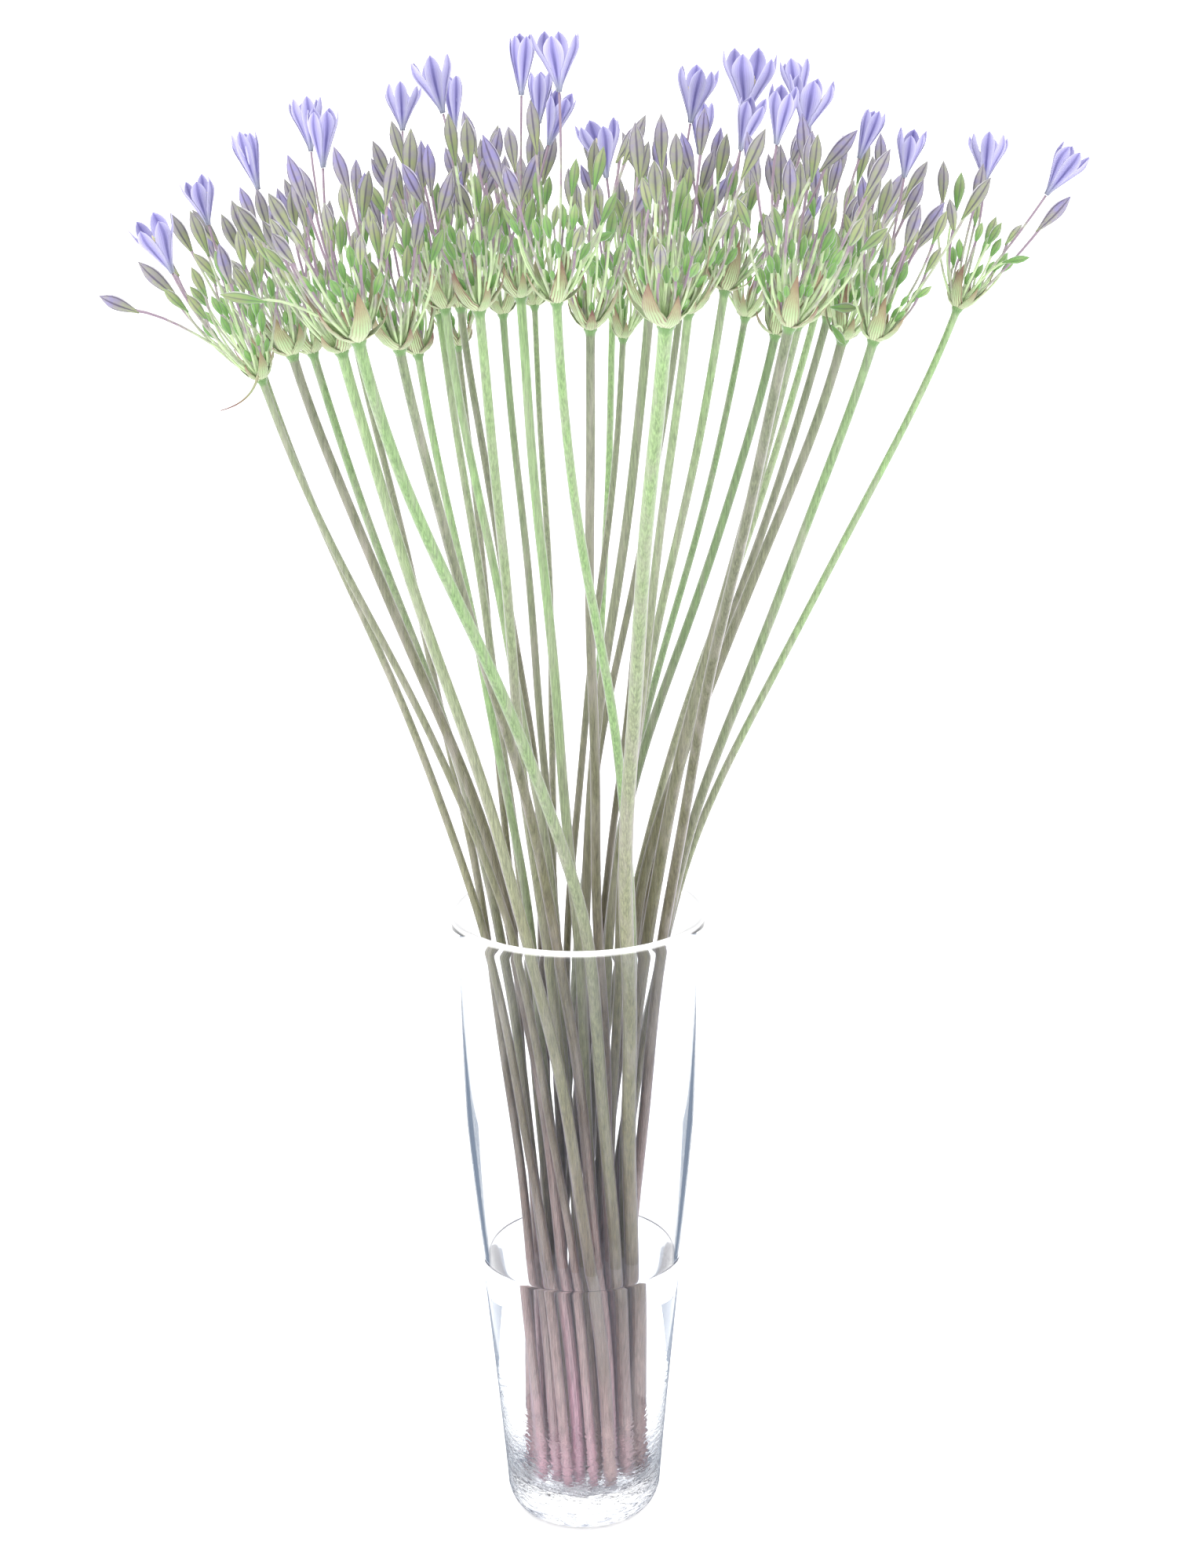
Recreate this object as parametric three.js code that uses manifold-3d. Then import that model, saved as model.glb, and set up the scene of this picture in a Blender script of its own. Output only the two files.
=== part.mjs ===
// Thirty-six cut brodiaea stems standing in a tall tapered glass vase of water.
// Millimetres, +Z up, origin at the centre of the vase's flat foot, -Y towards the viewer.

import * as THREE from 'three';
import { mergeVertices } from 'three/addons/utils/BufferGeometryUtils.js';
import Module from 'manifold-3d';

// Vase and water
const VASE_HEIGHT = 300;
const VASE_SIDES = 24;
const FOOT_RADIUS = 29;
const FLOOR_Z = 18;
const FLOOR_RADIUS = 31;
const FLOOR_CORNER = 3.2;
const GLASS_WALL = 2.8;
// Outer radius of the glass at each height, from the rounded heel to the rim
const GLASS_OUTSIDE = [[33.5, 2.4], [36.5, 9], [41.2, 67], [48.3, 141], [53.9, 213], [58, 299]];
const WATER_LEVEL = 130;
const WATER_LINES = [67];
const CLEARANCE = 0.3;
const HOLE_CLEARANCE = 0.42;

// The bunch: where its stems stand, spread and twist between the foot, the rim and the heads
const STEM_FOOT_Z = FLOOR_Z + CLEARANCE;
const BUNCH_FOOT_RADIUS = 22.9;
const RIM_SPREAD = 2.22;
const RIM_TWIST = -60;
const HEAD_SPREAD = 6.46;
const HEAD_TWIST = -80;
const HEAD_LEVEL = 570;
const BEND_Z = 290;
const GOLDEN_ANGLE = 137.508;

// Each flowering stem: top of the scape (x, y, z) and the scape's diameter there
const STEMS = [
  [-129, -36, 547, 3.0], [-138, 40, 541, 3.2], [-120, 4, 552, 4.2], [-117, 60, 546, 3.8],
  [-93, -60, 561, 4.6], [-101, 90, 551, 3.2], [-81, -120, 572, 4.8], [-67, -95, 566, 4.0],
  [-67, 20, 550, 3.4], [-59, 50, 564, 3.4], [-54, 115, 542, 2.8], [-54, 5, 571, 3.6],
  [-51, 85, 563, 3.4], [-36, -80, 579, 4.0], [-30, 29, 566, 3.2], [-21, -20, 578, 4.0],
  [-18, 130, 559, 2.8], [-5, -110, 585, 3.7], [8, -60, 569, 3.8], [19, 108, 558, 3.2],
  [23, 55, 552, 2.8], [33, -15, 570, 4.0], [36, -140, 579, 5.6], [41, 75, 559, 2.8],
  [47, 20, 567, 3.0], [48, -50, 574, 3.6], [64, -30, 581, 3.5], [82, 125, 553, 3.2],
  [88, 10, 558, 3.8], [84, -120, 576, 4.2], [92, -55, 570, 5.0], [114, 47, 561, 3.6],
  [113, 95, 559, 3.4], [116, -1, 557, 4.2], [125, -40, 561, 4.0], [167, 15, 568, 3.2],
];
const SCAPE_SIDES = 6;
const SCAPE_LEVELS = [0, 0.24, 0.48, 0.74];
const SCAPE_GROWTH = 1.3;
const COLLAR_OVERHANG = 1.0;
const COLLAR_HEIGHT = 2.6;

// Each open flower: its stem's number, the flower's base (x, y, z), its lean (x and y for
// each unit of height), its length and half the width of its mouth
const FLOWERS = [
  [1, -160, -58, 592, -0.37, -0.31, 24, 9], [3, -152, -4, 607, -0.19, -0.18, 20, 7],
  [4, -139, 66, 617, -0.26, 0.16, 26, 6], [6, -118, 98, 632, -0.09, 0.18, 24, 8],
  [5, -97, -66, 633, 0.02, -0.1, 23, 6.5], [10, -74, 66, 642, 0, 0.2, 20, 8.5],
  [12, -53, 10, 651, -0.26, 0.09, 24, 9.5], [16, -19, -30, 659, 0.03, -0.09, 24, 5.5],
  [18, -3, -106, 662, -0.03, -0.1, 22, 9.5], [15, -13, 20, 646, 0.05, -0.1, 22, 5],
  [16, -8, -44, 640, 0.3, -0.3, 22, 5.5], [19, 15, -66, 628, -0.15, -0.18, 23, 9],
  [22, 50, -18, 647, 0.16, -0.08, 23, 9], [27, 71, -36, 649, 0.12, -0.15, 27, 12],
  [26, 68, -64, 638, 0.27, -0.28, 21, 6], [27, 96, 0, 652, -0.1, 0.2, 20, 6.5],
  [31, 94, -50, 643, 0.2, -0.09, 23, 10], [30, 79, -108, 642, 0.13, -0.21, 22, 6],
  [34, 122, 4, 631, 0.37, 0.11, 21, 5], [35, 137, -30, 625, 0.13, -0.25, 20, 6],
  [36, 179, 30, 619, 0.1, 0.2, 21, 9], [36, 202, 8, 615, 0.64, -0.12, 23, 8],
];
const FLOWER_SIDES = 12;
const FLOWER_WALL = 0.7;
const FLOWER_NECK = 1.2;
const FLOWER_THROAT = 0.34;
const FLOWER_SHOULDER = 0.78;
const FLOWER_FLOOR = 0.2;
const THROAT_FLARE = 0.35;
const LIP_WIDTH = 0.97;
const POINT_PINCH = 0.3;
const NOTCH_PINCH = 0.45;
const NOTCH_DEPTH = 0.72;

// Pedicels and buds: the sizes large, middling and small, and the order in which they come
const PEDICELS_PER_HEAD = 6;
const PEDICEL_RADIUS = 0.65;
const PEDICEL_SIDES = 3;
const BUDS = [
  { length: 17, radius: 3.0, reach: [50, 72], spread: 26 },
  { length: 12, radius: 2.3, reach: [32, 50], spread: 26 },
  { length: 8, radius: 1.9, reach: [20, 32], spread: 24 },
];
const BUD_ORDER = [0, 1, 0, 2, 0, 1, 0, 2];
const BUD_BELLY = 0.45;
const PEDICEL_ROOT = 0.8;
const ROOT_RING_LEAST = 1.35;
const ROOT_TURN = 60;
// Pedicels that stray far from the rest: stem number, neck and tip of the bud, size of bud
const STRAYS = [
  [1, [-179, -45, 576], [-192, -47, 582], 0], [7, [-116, -135, 588], [-130, -140, 591], 1],
  [36, [185, 0, 588], [194, -4, 590], 2], [19, [10, -95, 606], [17, -98, 609], 2],
];
const STRAY_ARCH = 9;
const ARC_STEPS = 4;
const DIRECTION_WANDER = 40;
const SHARE_STEP = 0.7549;
const OUTER_LOSS = 0.12;
const DRAWS = { share: 51, bract: 91, reach: 100, wander: 200 };
const CHECK_STEPS = 10;
const HEAD_LEAN = 450;
const TRIES = 8;
const TRY_TURN = 47;
const TRY_SHORTEN = 0.05;
const TRY_STRAIGHTEN = 0.06;
const KEEP_CLEAR = 0.5;

// Papery bracts that cup the roots of the pedicels, joined below in one three-pointed cup
const BRACT_POINTS = 3;
const BRACT_LENGTH = 19;
const BRACT_BELLY = [3.6, 4.5];
const BRACT_OUT = 9.5;
const BRACT_WALL = 0.8;
const BRACT_NOTCH = 0.85;
const CUP_FLOOR = 0.4;

const UP = new THREE.Vector3(0, 0, 1);

// One repeatable number from 0 to 1 for each pair of whole numbers
function draw(a, b) {
  let mixed = (Math.imul(a + 1, 374761393) + Math.imul(b + 1, 668265263)) >>> 0;
  mixed = Math.imul((mixed ^ (mixed >>> 13)) >>> 0, 1274126177) >>> 0;
  return ((mixed ^ (mixed >>> 16)) >>> 0) / 4294967296;
}

const fraction = (value) => value - Math.floor(value);
const radians = (degrees) => degrees * Math.PI / 180;
const times = ([a, b], [c, d]) => [a * c - b * d, a * d + b * c];
const turned = (length, degrees) => [length * Math.cos(radians(degrees)), length * Math.sin(radians(degrees))];

// How far up a height is, from 0 at the foot of the stems to 1 at the rim of the vase
const rise = (z) => (z - STEM_FOOT_Z) / (VASE_HEIGHT - STEM_FOOT_Z);

// The whole bunch spreads and twists as one: a plane point of the foot is multiplied by a
// complex number that is START at the foot, RIM at the rim and HEAD at the level of the heads
const RIM = turned(RIM_SPREAD, RIM_TWIST);
const HEAD = turned(HEAD_SPREAD, HEAD_TWIST);
const TOP = rise(HEAD_LEVEL);
const START = [1, 0];
const BOW = [0, 1].map((axis) => (HEAD[axis] - (1 - TOP) * START[axis] - TOP * RIM[axis]) / (TOP * (TOP - 1)));

function spread(t) {
  return [0, 1].map((axis) => (1 - t) * START[axis] + t * RIM[axis] + BOW[axis] * t * (t - 1));
}

// How fast the spread changes, for each millimetre of height
function spreadRate(t) {
  const rate = (axis) => RIM[axis] - START[axis] + BOW[axis] * (2 * t - 1);
  return [0, 1].map((axis) => rate(axis) / (VASE_HEIGHT - STEM_FOOT_Z));
}

// Feet lie on a sunflower spiral. Each head takes a foot, and two heads swap theirs as long
// as that brings the spread-out feet closer to the heads.
function chooseFeet() {
  const outward = (k) => BUNCH_FOOT_RADIUS * Math.sqrt((k + 0.5) / STEMS.length);
  const spots = STEMS.map((_, k) => turned(outward(k), k * GOLDEN_ANGLE));
  const ends = spots.map((spot) => times(spread(TOP), spot));
  const miss = (head, spot) => Math.hypot(ends[spot][0] - STEMS[head][0], ends[spot][1] - STEMS[head][1]) ** 2;
  const taken = STEMS.map((_, k) => k);
  let swapped = true;
  while (swapped) {
    swapped = false;
    for (let i = 0; i < taken.length; i += 1) {
      for (let j = 0; j < i; j += 1) {
        const now = miss(i, taken[i]) + miss(j, taken[j]);
        if (miss(i, taken[j]) + miss(j, taken[i]) < now - 1e-6) {
          [taken[i], taken[j]] = [taken[j], taken[i]];
          swapped = true;
        }
      }
    }
  }
  return taken.map((spot) => spots[spot]);
}

const FEET = chooseFeet();

// Centre of stem i at height z: the common spread, and from just below the rim a smooth
// S-bend (a cubic that keeps place and slope at both ends) to its own head and lean
function stemCentre(i, z) {
  if (z <= BEND_Z) return new THREE.Vector3(...times(spread(rise(z)), FEET[i]), z);
  const place = times(spread(rise(BEND_Z)), FEET[i]);
  const slope = times(spreadRate(rise(BEND_Z)), FEET[i]);
  const height = STEMS[i][2] - BEND_Z;
  const t = (z - BEND_Z) / height;
  const at = (axis) => (1 - t) ** 2 * ((1 + 2 * t) * place[axis] + t * height * slope[axis])
    + t * t * ((3 - 2 * t) * STEMS[i][axis] + (t - 1) * height * STEMS[i][axis] / HEAD_LEAN);
  return new THREE.Vector3(at(0), at(1), z);
}

const headPoint = (i) => new THREE.Vector3(STEMS[i][0], STEMS[i][1], STEMS[i][2]);
const headAxis = (i) => new THREE.Vector3(STEMS[i][0] / HEAD_LEAN, STEMS[i][1] / HEAD_LEAN, 1).normalize();

class StemLine extends THREE.Curve {
  constructor(i) {
    super();
    this.index = i;
  }

  getPoint(t, target = new THREE.Vector3()) {
    const top = STEMS[this.index][2];
    return target.copy(stemCentre(this.index, STEM_FOOT_Z + t * (top - STEM_FOOT_Z)));
  }
}

// A closed mesh with shared corners, without faces that have lost their area at a pole
function closed(geometry) {
  const bare = geometry.clone();
  bare.deleteAttribute('normal');
  bare.deleteAttribute('uv');
  const merged = mergeVertices(bare, 1e-4);
  const corners = merged.index.array;
  const kept = [];
  for (let k = 0; k < corners.length; k += 3) {
    const [a, b, c] = [corners[k], corners[k + 1], corners[k + 2]];
    if (a !== b && b !== c && c !== a) kept.push(a, b, c);
  }
  merged.setIndex(kept);
  return merged;
}

// A turned solid about +Z, from a profile of [radius, height] that starts and ends on the axis
function turnedSolid(profile, sides) {
  const points = profile.map(([radius, height]) => new THREE.Vector2(radius, height));
  return closed(new THREE.LatheGeometry(points, sides).rotateX(Math.PI / 2));
}

// Carries a solid whose height runs from 0 to 1 along a curve, with its X held to one side
function carried(solid, curve, side) {
  const places = solid.attributes.position;
  const spot = new THREE.Vector3();
  for (let k = 0; k < places.count; k += 1) {
    const along = places.getZ(k);
    const forward = curve.getTangent(Math.min(Math.max(along, 0), 1));
    const across = new THREE.Vector3().crossVectors(forward, side).normalize();
    const out = new THREE.Vector3().crossVectors(across, forward);
    spot.copy(curve.getPoint(along));
    spot.addScaledVector(out, places.getX(k)).addScaledVector(across, places.getY(k));
    places.setXYZ(k, spot.x, spot.y, spot.z);
  }
  return solid;
}

const wasm = await Module();
wasm.setup();

function solidOf(geometry) {
  const mesh = new wasm.Mesh({
    numProp: 3,
    vertProperties: new Float32Array(geometry.attributes.position.array),
    triVerts: new Uint32Array(geometry.index.array),
  });
  return new wasm.Manifold(mesh);
}

function geometryOf(solid) {
  const mesh = solid.getMesh();
  const geometry = new THREE.BufferGeometry();
  geometry.setAttribute('position', new THREE.BufferAttribute(new Float32Array(mesh.vertProperties), 3));
  geometry.setIndex([...mesh.triVerts]);
  geometry.computeVertexNormals();
  return geometry;
}

const joined = (geometries) => geometries.map(solidOf).reduce((whole, piece) => whole.add(piece));

// Smallest distance between the middle lines of two straight pieces
function lineGap(p1, q1, p2, q2) {
  const d1 = q1.clone().sub(p1);
  const d2 = q2.clone().sub(p2);
  const r = p1.clone().sub(p2);
  const a = d1.dot(d1);
  const e = d2.dot(d2);
  const f = d2.dot(r);
  const c = d1.dot(r);
  const b = d1.dot(d2);
  const clamp = (value) => Math.min(Math.max(value, 0), 1);
  const denominator = a * e - b * b;
  let s = denominator > 1e-9 ? clamp((b * f - c * e) / denominator) : 0;
  let t = (b * s + f) / e;
  if (t < 0 || t > 1) {
    t = clamp(t);
    s = clamp((b * t - c) / a);
  }
  return p1.clone().addScaledVector(d1, s).distanceTo(p2.clone().addScaledVector(d2, t));
}

// Round rods that stand for what is already in place, each with the head it belongs to. A head's
// own pedicels may meet only where they leave the collar, and its scape is never in their way.
const FREE_RODS = 4;
const rods = [];

function addRods(head, points, radii) {
  for (let k = 0; k < radii.length; k += 1) {
    const middle = points[k].clone().add(points[k + 1]).multiplyScalar(0.5);
    const half = points[k].distanceTo(points[k + 1]) / 2;
    const fromRoot = k === 0 || radii.length > FREE_RODS;
    rods.push({ head, fromRoot, from: points[k], to: points[k + 1], radius: radii[k], middle, half });
  }
}

function isClear(head, points, radii) {
  return radii.every((radius, k) => {
    const middle = points[k].clone().add(points[k + 1]).multiplyScalar(0.5);
    const half = points[k].distanceTo(points[k + 1]) / 2;
    return rods.every((rod) => {
      if (rod.head === head && (k === 0 || rod.fromRoot)) return true;
      const room = radius + rod.radius + KEEP_CLEAR;
      if (middle.distanceTo(rod.middle) > room + half + rod.half) return true;
      return lineGap(points[k], points[k + 1], rod.from, rod.to) > room;
    });
  });
}

// Directions round a head: X and Y square to its axis
function headFrame(i) {
  const axis = headAxis(i);
  const x = new THREE.Vector3(1, 0, 0).addScaledVector(axis, -axis.x).normalize();
  return { axis, x, y: new THREE.Vector3().crossVectors(axis, x) };
}

function aimed(frame, tilt, turn) {
  const out = frame.x.clone().multiplyScalar(Math.cos(turn)).addScaledVector(frame.y, Math.sin(turn));
  return frame.axis.clone().multiplyScalar(Math.cos(tilt)).addScaledVector(out, Math.sin(tilt));
}

// The scape: a slim tapered rod with a collar, enlarged all round by extra
function scapeProfile(i, extra) {
  const topRadius = STEMS[i][3] / 2;
  const height = STEMS[i][2] - STEM_FOOT_Z;
  const foot = -extra / height;
  const profile = [[0, foot]];
  for (const level of [...SCAPE_LEVELS, 1 - COLLAR_HEIGHT / height]) {
    profile.push([topRadius + SCAPE_GROWTH / 2 * (1 - level) + extra, level === 0 ? foot : level]);
  }
  profile.push([topRadius + COLLAR_OVERHANG + extra, 1]);
  return profile;
}

const alongScape = (i, solid) => carried(solid, new StemLine(i), new THREE.Vector3(1, 0, 0));

const scapeHole = (i, extra) => alongScape(i, turnedSolid([...scapeProfile(i, extra), [0, 1]], SCAPE_SIDES));

// The scape with its cup of bracts: every second column of the cup is cut down to a notch
function scapeSolid(i) {
  const height = STEMS[i][2] - STEM_FOOT_Z;
  const ring = STEMS[i][3] / 2 + COLLAR_OVERHANG;
  const above = (lift) => 1 + lift / height;
  const length = BRACT_LENGTH * (0.85 + 0.3 * draw(i, DRAWS.bract));
  const [out, up] = BRACT_BELLY;
  const profile = [...scapeProfile(i, 0), [ring + out, above(up)], [ring + BRACT_OUT, above(length)]];
  profile.push([ring + out - BRACT_WALL, above(up)], [0, above(CUP_FLOOR)]);
  const solid = turnedSolid(profile, SCAPE_SIDES);
  const places = solid.attributes.position;
  for (let k = 0; k < places.count; k += 1) {
    const turn = Math.atan2(places.getY(k), places.getX(k)) + Math.PI / 2;
    const valley = 0.5 - 0.5 * Math.cos(BRACT_POINTS * turn);
    const raised = Math.max(0, places.getZ(k) - above(up));
    places.setZ(k, places.getZ(k) - valley * BRACT_NOTCH * raised);
  }
  return alongScape(i, solid);
}

// Roots lie in a ring on the collar, one to each sixth of a turn
const rootRing = (i) => Math.max(ROOT_RING_LEAST, STEMS[i][3] / 4 + COLLAR_OVERHANG);

// Pedicel number rank of head i at its given try
function pedicelLine(i, rank, attempt) {
  const frame = headFrame(i);
  const size = BUDS[BUD_ORDER[rank % BUD_ORDER.length]];
  const share = fraction(rank * SHARE_STEP + draw(i, DRAWS.share));
  const tilt = radians(size.spread) * Math.sqrt(share) * (1 - TRY_STRAIGHTEN * attempt);
  const rootTurn = radians(rank * ROOT_TURN);
  const wander = DIRECTION_WANDER * (draw(i, DRAWS.wander + rank) - 0.5) + attempt * TRY_TURN;
  const turn = rootTurn + radians(wander);
  const [least, most] = size.reach;
  const full = least + (most - least) * draw(i, DRAWS.reach + rank);
  const reach = full * (1 - OUTER_LOSS * share - TRY_SHORTEN * attempt);
  const root = headPoint(i).addScaledVector(frame.axis, -PEDICEL_ROOT);
  root.addScaledVector(aimed(frame, Math.PI / 2, rootTurn), rootRing(i));
  const heading = aimed(frame, tilt, turn);
  const neck = root.clone().addScaledVector(heading, reach);
  const tip = neck.clone().addScaledVector(heading, size.length);
  const side = aimed(frame, Math.PI / 2, turn + Math.PI / 2);
  return { curve: new THREE.LineCurve3(root, tip), neck, side, size, reach };
}

function linePoints(curve, steps) {
  return Array.from({ length: steps + 1 }, (_, k) => curve.getPoint(k / steps));
}

// A pedicel of few sides that swells into its bud
function pedicelSolid(line) {
  const neck = line.reach / (line.reach + line.size.length);
  const belly = neck + (1 - neck) * BUD_BELLY;
  const shaft = line.curve.isLineCurve3 ? [0, neck] : [0, neck / 3, neck * 2 / 3, neck];
  const profile = [[0, 0], ...shaft.map((t) => [PEDICEL_RADIUS, t]), [line.size.radius, belly], [0, 1]];
  return carried(turnedSolid(profile, PEDICEL_SIDES), line.curve, line.side);
}

// A straying pedicel arches up on its way out to its bud
function strayLine([stem, neckAt, tipAt, kind]) {
  const frame = headFrame(stem - 1);
  const root = headPoint(stem - 1).addScaledVector(frame.axis, -PEDICEL_ROOT);
  const [neck, tip] = [neckAt, tipAt].map((place) => new THREE.Vector3(...place));
  const bulge = root.clone().lerp(tip, 0.5).addScaledVector(UP, STRAY_ARCH);
  const side = new THREE.Vector3().crossVectors(UP, tip.clone().sub(root)).normalize();
  const reach = root.distanceTo(neck);
  return { curve: new THREE.QuadraticBezierCurve3(root, bulge, tip), neck, side, size: BUDS[kind], reach };
}

function flowerAxis(flower) {
  return new THREE.Vector3(flower[4], flower[5], 1).normalize();
}

// The pedicel that carries an open flower stops just short of the flower's base
function flowerPedicelLine(flower) {
  const head = flower[0] - 1;
  const base = new THREE.Vector3(flower[1], flower[2], flower[3]);
  const axis = flowerAxis(flower);
  const end = base.clone().addScaledVector(axis, -CLEARANCE);
  const root = headPoint(head).addScaledVector(headAxis(head), -PEDICEL_ROOT);
  const bulge = end.clone().addScaledVector(axis, -0.5 * end.distanceTo(root));
  const side = new THREE.Vector3().crossVectors(end.clone().sub(root), axis);
  if (side.length() < 1e-3) side.set(0, 1, 0);
  return { curve: new THREE.QuadraticBezierCurve3(root, bulge, end), side: side.normalize(), base, axis };
}

function flowerPedicelSolid(line) {
  const profile = [[0, 0], [PEDICEL_RADIUS, 0], [PEDICEL_RADIUS, 0.5], [PEDICEL_RADIUS, 1], [0, 1]];
  return carried(turnedSolid(profile, PEDICEL_SIDES), line.curve, line.side);
}

// A funnel of six joined tepals: its wall is cut down between them, so that six points stand up
function flowerSolid(length, mouth) {
  const throat = [FLOWER_NECK + THROAT_FLARE * mouth, FLOWER_THROAT * length];
  const [shoulder, lip] = [FLOWER_SHOULDER * length, [LIP_WIDTH * mouth, length]];
  const inside = [[mouth - FLOWER_WALL, shoulder], [0, FLOWER_FLOOR * length]];
  const profile = [[0, 0], throat, [mouth, shoulder], lip, ...inside];
  const solid = turnedSolid(profile, FLOWER_SIDES);
  const places = solid.attributes.position;
  for (let k = 0; k < places.count; k += 1) {
    const [x, y, z] = [places.getX(k), places.getY(k), places.getZ(k)];
    const point = 0.5 + 0.5 * Math.cos(6 * Math.atan2(y, x));
    const raised = Math.max(0, z - FLOWER_THROAT * length);
    const drop = (1 - point) * NOTCH_DEPTH * raised;
    const pinch = 1 - POINT_PINCH * point * Math.max(0, z - shoulder) / (length - shoulder);
    const narrow = 1 - (1 - point) * NOTCH_PINCH * raised / length;
    places.setXYZ(k, x * pinch * narrow, y * pinch * narrow, z - drop);
  }
  return solid;
}

// Line and radii that stand for the reach of head i's cup
function cupRods(i) {
  const root = headPoint(i);
  const rim = root.clone().addScaledVector(headAxis(i), BRACT_LENGTH);
  return { points: [root, rim], radii: [STEMS[i][3] / 2 + COLLAR_OVERHANG + BRACT_OUT] };
}

function placeEverything() {
  const heads = STEMS.map(() => ({ pedicels: [], flowers: [] }));
  heads.forEach((_, i) => {
    const cup = cupRods(i);
    const scapeRadius = STEMS[i][3] / 2 + COLLAR_OVERHANG;
    addRods(i, linePoints(new StemLine(i), CHECK_STEPS), Array(CHECK_STEPS).fill(scapeRadius));
    addRods(i, cup.points, cup.radii);
  });
  for (const flower of FLOWERS) {
    const line = flowerPedicelLine(flower);
    const tip = line.base.clone().addScaledVector(line.axis, flower[6]);
    const middle = line.base.clone().lerp(tip, 0.5);
    addRods(-1, [line.base, middle, tip], [0.6 * flower[7], flower[7]]);
    addRods(flower[0] - 1, linePoints(line.curve, ARC_STEPS), Array(ARC_STEPS).fill(PEDICEL_RADIUS));
    heads[flower[0] - 1].flowers.push(line);
  }
  for (const stray of STRAYS) {
    const line = strayLine(stray);
    const radii = [...Array(ARC_STEPS - 1).fill(PEDICEL_RADIUS), line.size.radius];
    addRods(stray[0] - 1, linePoints(line.curve, ARC_STEPS), radii);
    heads[stray[0] - 1].pedicels.push(line);
  }
  for (let rank = 0; rank < PEDICELS_PER_HEAD; rank += 1) {
    heads.forEach((head, i) => {
      if (rank + head.flowers.length >= PEDICELS_PER_HEAD) return;
      for (let attempt = 0; attempt < TRIES; attempt += 1) {
        const line = pedicelLine(i, rank, attempt);
        const points = [...linePoints(new THREE.LineCurve3(line.curve.v1, line.neck), 2), line.curve.v2];
        const radii = [PEDICEL_RADIUS, PEDICEL_RADIUS, line.size.radius];
        if (isClear(i, points, radii)) {
          head.pedicels.push(line);
          addRods(i, points, radii);
          break;
        }
      }
    });
  }
  return heads;
}

function glassSolid() {
  const outside = [[FOOT_RADIUS, 0], ...GLASS_OUTSIDE];
  const inside = GLASS_OUTSIDE.slice(2).reverse().map(([radius, height]) => [radius - GLASS_WALL, height]);
  const rim = [GLASS_OUTSIDE.at(-1)[0] - GLASS_WALL / 2, VASE_HEIGHT];
  const corner = FLOOR_Z + FLOOR_CORNER;
  const floor = [[boreRadius(corner), corner], [FLOOR_RADIUS, FLOOR_Z], [0, FLOOR_Z]];
  return turnedSolid([[0, 0], ...outside, rim, ...inside, ...floor], VASE_SIDES);
}

// Inner radius of the glass at a height, between the given heights of its outside
function boreRadius(z) {
  const above = GLASS_OUTSIDE.findIndex(([, height]) => height > z);
  const [[r0, z0], [r1, z1]] = [GLASS_OUTSIDE[above - 1], GLASS_OUTSIDE[above]];
  return r0 + (r1 - r0) * (z - z0) / (z1 - z0) - GLASS_WALL;
}

// Water fills the bore up to its level, with a plain hole for each stem
function waterSolid() {
  const bottom = FLOOR_Z + CLEARANCE;
  const profile = [[0, bottom], [FLOOR_RADIUS - CLEARANCE / 2, bottom]];
  for (const z of [bottom + FLOOR_CORNER, ...WATER_LINES, WATER_LEVEL]) profile.push([boreRadius(z) - CLEARANCE, z]);
  profile.push([0, WATER_LEVEL]);
  const holes = joined(STEMS.map((_, i) => scapeHole(i, HOLE_CLEARANCE)));
  return geometryOf(solidOf(turnedSolid(profile, VASE_SIDES)).subtract(holes));
}

const glassFinish = new THREE.MeshStandardMaterial({
  color: '#e8eef2', roughness: 0.05, metalness: 0, transparent: true, opacity: 0.35,
});
const waterFinish = new THREE.MeshStandardMaterial({
  color: '#eef4f6', roughness: 0.05, metalness: 0, transparent: true, opacity: 0.3,
});
const stemFinish = () => new THREE.MeshStandardMaterial({ color: '#7f9a5c', roughness: 0.55, metalness: 0 });
const tepalFinish = () => new THREE.MeshStandardMaterial({ color: '#8a80e6', roughness: 0.5, metalness: 0 });

function meshOf(name, geometry, material) {
  const mesh = new THREE.Mesh(geometry, material);
  mesh.name = name;
  return mesh;
}

const numbered = (word, k) => `${word}_${String(k + 1).padStart(2, '0')}`;

const bouquet = new THREE.Group();
bouquet.add(meshOf('vase', glassSolid(), glassFinish));
bouquet.add(meshOf('water', waterSolid(), waterFinish));

placeEverything().forEach((head, i) => {
  const pieces = [scapeSolid(i)];
  pieces.push(...head.flowers.map(flowerPedicelSolid));
  pieces.push(...head.pedicels.map(pedicelSolid));
  bouquet.add(meshOf(numbered('stem', i), geometryOf(joined(pieces)), stemFinish()));
});

FLOWERS.forEach((flower, k) => {
  const mesh = meshOf(numbered('bloom', k), flowerSolid(flower[6], flower[7]), tepalFinish());
  mesh.position.set(flower[1], flower[2], flower[3]);
  mesh.quaternion.setFromUnitVectors(UP, flowerAxis(flower));
  bouquet.add(mesh);
});

export default bouquet;
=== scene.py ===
"""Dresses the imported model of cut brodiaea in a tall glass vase: blown glass, water, thirty-six
flowering stems with their papery bracts, pedicels and buds, and the open violet flowers."""

import functools
import math

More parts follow.
